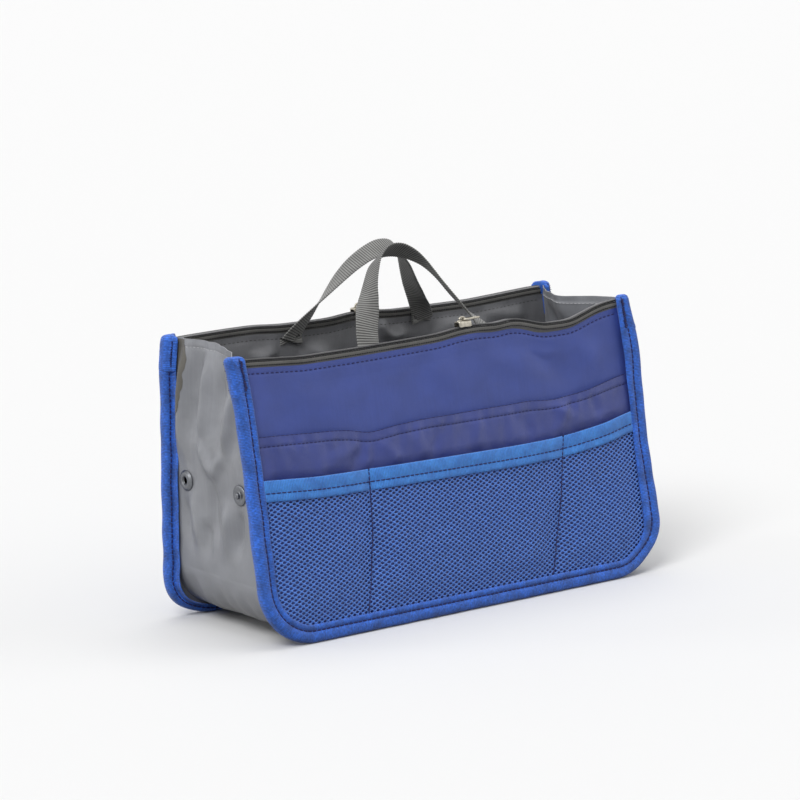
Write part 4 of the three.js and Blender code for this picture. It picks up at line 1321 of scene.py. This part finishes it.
def gusset_inward(side, across, y, z):
    """How far a gusset bows into the bag: 0 at its seams and its snaps, most at its top near the crease."""
    bow = GUSSET_BOW[side](across) * smoothstep(GUSSET_BOW_FROM[side], 166, z)
    inward = bow + np.sin(np.clip(across, 0, 1) * math.pi) * smoothstep(CORNER_TOP, 60, z)
    near_snap = sum(np.exp(-(((y - snap_y) / 9) ** 2 + ((z - snap_z) / 11) ** 2))
                    for snap_y, snap_z in map(snap_place, ("rear", "front")))
    keep = np.clip(1 - near_snap, 0, 1)
    soft = 1.0 * ripples(y * 1.5, z * 0.35, 36, 81 + side) + 0.5 * ripples(y * 1.6, z * 0.5, 16, 83 + side)
    crumple = 0.6 * ripples(y * 1.2, z * 0.8, 8, 85 + side) * smoothstep(158, 168, z)
    free = smoothstep(0, 0.14, across) * smoothstep(1, 0.86, across) * smoothstep(36, 58, z)
    folds = 2.0 * with_folds(0, y, z, GUSSET_FOLDS[side])
    return inward * keep + (soft + folds + crumple) * free * keep


def gusset_grid(side, across, up, outward=0.0):
    """Places on a gusset's middle surface, and its cloth's own coordinates: y and z before it bows."""
    rear, front = (on_wall(w, side * SEAM_X, -BACK_OUT, up) for w in ("rear", "front"))
    z = between(rear[:, 2:], front[:, 2:], across)
    y = between(seam_y("rear", rear[:, 2:]), seam_y("front", front[:, 2:]), across)
    seam_x = between(rear[:, :1], front[:, :1], across)
    below = (GUSSET_TOP - up)[:, None]
    hem = 0.25 * smoothstep(GUSSET_HEM + 0.5, GUSSET_HEM - 0.5, below) - 0.3 * bell(below - GUSSET_HEM, 0.7)
    rise = ((up - GUSSET_FOOT) / (GUSSET_TOP - GUSSET_FOOT))[:, None]
    lift = GUSSET_LIFT[side](across) * smoothstep(0.8, 1, rise)
    drop = STRIP_RADIUS - np.sqrt(STRIP_RADIUS**2 - np.maximum(CORNER_TOP - up, 0) ** 2)
    tuck = 0.36 + 0.02 * smoothstep(*THIN_UNTIL, up) + drop
    inward = gusset_inward(side, across, y, z) + tuck[:, None] - hem - outward
    return together(seam_x - side * inward, y, z + lift), together(y, z)


def make_gusset(side):
    label = SIDE_NAME[side]
    halves = (f"gusset_{label}_rear", f"gusset_{label}_front")
    rise = np.concatenate([np.linspace(0, 0.88, 70), np.linspace(0.88, 1, 26)[1:]])
    up = GUSSET_FOOT + rise * (GUSSET_TOP - GUSSET_FOOT)
    points, uv = gusset_grid(side, np.linspace(0, 1, 64)[None, :], up)
    thickness = THIN_CLOTH + (CLOTH - THIN_CLOTH) * smoothstep(*THIN_UNTIL, up)
    piece = cloth_piece(f"gusset_cloth_{label}", points, uv, thickness, flip=side < 0)
    dress(piece, GUSSET, None, "gusset_grey", *halves)
    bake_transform(piece)
    row = points[np.argmin(np.abs(GUSSET_TOP - up - GUSSET_HEM))]
    if side < 0:
        row = row[::-1]
    for face, away in (("outer", side), ("inner", -side)):
        path = resampled((row + np.array([away * 0.22, 0, 0]))[2:-2], 200)
        name = f"gusset_hem_stitches_{label}_{face}"
        stitches = stitch_line(name, path, (away, 0, 0), 2.6, 2.1, 0.25)
        dress(stitches, PALE_THREAD, None, "gusset_grey")
        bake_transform(stitches)


# Width of the painted shade strip beside a gusset's rear seam, a darker sheet for the shade in the fold
# there, by height
SHADE_STRIP_WIDTH = soft_curve([(96, 0.6), (105.8, 2), (112.6, 4.2), (120, 4), (123, 5.4), (126, 9), (138.6, 11),
                           (149.6, 12.2), (156.6, 12.2), (163, 9), (169, 7.3)], 1.2)


def make_shade_strip(side):
    """A strip of darker cloth over the gusset's rear seam, with an uneven edge: painted shade for the fold
    there.
    """
    label = SIDE_NAME[side]
    up = np.linspace(98, GUSSET_TOP - 0.6, 60)
    width = SHADE_STRIP_WIDTH(up) + 0.5 * ripples(up, 0 * up, 7, 97 + side)
    depth = (seam_y("rear", up) - seam_y("front", up))[:, None]
    across = np.linspace(0.012, 1, 14)[None, :] * np.maximum(width, 0.5)[:, None] / depth
    points, uv = gusset_grid(side, across, up, 0.38)
    piece = cloth_piece(f"gusset_shade_strip_{label}", points, uv, 0.25, flip=side < 0)
    dress(piece, SHADE_STRIP_CLOTH, f"gusset_{label}_rear", "gusset_grey")


# Profiles of the press snaps' parts: distance from their axis, and height over the cloth
SNAP_FACE = {
    "socket": [(2.3, 0.0), (2.3, 1.2), (2.45, 1.5), (2.8, 1.75), (3.6, 1.8), (4.5, 1.78), (5.0, 1.55),
               (5.3, 1.1), (5.75, 0.75), (6.05, 0.5), (6.1, 0.2), (6.0, 0.0)],
    "stud": [(0.0, 2.9), (0.9, 2.95), (1.6, 2.85), (1.95, 2.5), (2.0, 1.9), (1.85, 1.2), (2.1, 0.85),
             (2.9, 0.75), (3.4, 0.95), (4.6, 1.0), (5.5, 0.95), (6.0, 0.6), (6.1, 0.25), (6.0, 0.0)],
}
SNAP_CAP = [(0.0, 0.85), (2.5, 0.82), (4.4, 0.7), (5.2, 0.45), (5.5, 0.15), (5.4, 0.0)]
SNAP_WELL = [(0.0, 0.35), (2.32, 0.35)]


def make_snap(kind, side):
    """A press snap's face and cap, turned about their own axis."""
    label, which = SIDE_NAME[side], "rear" if kind == "socket" else "front"
    y, z = snap_place(which)
    for part, profile, x, way, node in (
            ("face", SNAP_FACE[kind], side * (SEAM_X + 0.05), side, f"snap_{kind}_{label}"),
            ("cap", SNAP_CAP, side * (SEAM_X - CLOTH - 0.05), -side, f"snap_{kind}_cap_{label}")):
        name = f"snap_{kind}_{part}_{label}_finish"
        turned = turned_piece(name, profile, (x, y, z), way)
        if part == "face" and kind == "socket":
            turned = join(name, [turned, turned_piece("well", SNAP_WELL, (x, y, z), way)])
        dress(turned, SNAP_METAL, f"gusset_{label}_{which}", "snap_metal", node)


def turned_piece(name, profile, place, way):
    """A surface of revolution about X, facing away along X. Its back, which lies on the cloth, is flat."""
    (x, y, z), angle = place, circle(56)
    radius, height = np.array(profile).T[:, :, None]
    rings = together(x + way * height, y + radius * np.cos(angle), z + radius * np.sin(angle))
    return skin_piece(name, rings, flip=way > 0)


def make_corner(side):
    """The strip that turns from the gusset under the bag."""
    label = SIDE_NAME[side]
    angle = np.linspace(0, math.pi / 2, 18)
    x = np.concatenate([[STRIP_FLAT, 102.0], SEAM_X - STRIP_RADIUS + STRIP_RADIUS * np.sin(angle),
                        [SEAM_X] * 2])
    up = np.concatenate([[6.2, 6.2], 6.2 + STRIP_RADIUS * (1 - np.cos(angle)), [36.0, 40.0]])
    x = x - 0.45 * smoothstep(110, 136, x) - 0.35 * smoothstep(34.5, 36.5, up)
    across = np.linspace(0, 1, 40)
    rear, front = (on_wall(w, 0 * x, -BACK_OUT - 0.15, up) for w in ("rear", "front"))
    y, z = (between(rear[:, i, None], front[:, i, None], across) for i in (1, 2))
    run = arc_lengths(together(x, up))[:, None]
    x, up = x[:, None], up[:, None]
    wave = 1.1 * ripples(y * 1.7, (z + x) * 0.3, 26, 91 + side)
    wave = wave * smoothstep(0, 0.15, across) * smoothstep(1, 0.85, across)
    wave = wave * smoothstep(94, 108, x) * smoothstep(31, 22, up)
    sideways = np.sin(np.interp(x, [110, 138], [0, math.pi / 2]))
    points = together(side * (x - wave * sideways), y, z + wave * (1 - sideways))
    piece = cloth_piece(f"corner_cloth_{label}", points, together(y, run), flip=side > 0)
    dress(piece, GUSSET, "rear_wall", "gusset_grey", f"corner_strip_{label}")
    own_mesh(piece)


def make_bottom():
    """The strip under the bag, with its lengthwise crease."""
    x = np.linspace(-STRIP_FLAT - 1, STRIP_FLAT + 1, 80)[:, None]
    across = np.linspace(0, 1, 60)
    rear, front = (on_wall(w, 0.0, -BACK_OUT - 0.1, 6.1) for w in ("rear", "front"))
    y, z = between(rear[1], front[1], across), between(rear[2], front[2], across)
    free = smoothstep(0, 0.15, across) * smoothstep(1, 0.85, across)
    wave = (0.6 * ripples(x, y, 60, 95) + 0.8 * bell(across - 0.5, 0.02)) * free
    piece = cloth_piece("bottom_cloth", together(x, y, z + wave), together(x, y))
    dress(piece, GUSSET, None, "gusset_grey", "bottom_rear", "bottom_front")
    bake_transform(piece)


make_camera()
make_stage()
for wall in ("front", "rear"):
    make_panel(wall)
    make_slip(wall)
    make_mesh_pocket(wall)
    make_band(wall)
    make_binding(wall)
    make_zip(wall)
    make_slider(wall)
    make_lining(wall)
    make_handle(wall)
for way in (-1, 1):
    make_gusset(way)
    make_shade_strip(way)
    make_corner(way)
    for snap in ("socket", "stud"):
        make_snap(snap, way)
make_bottom()
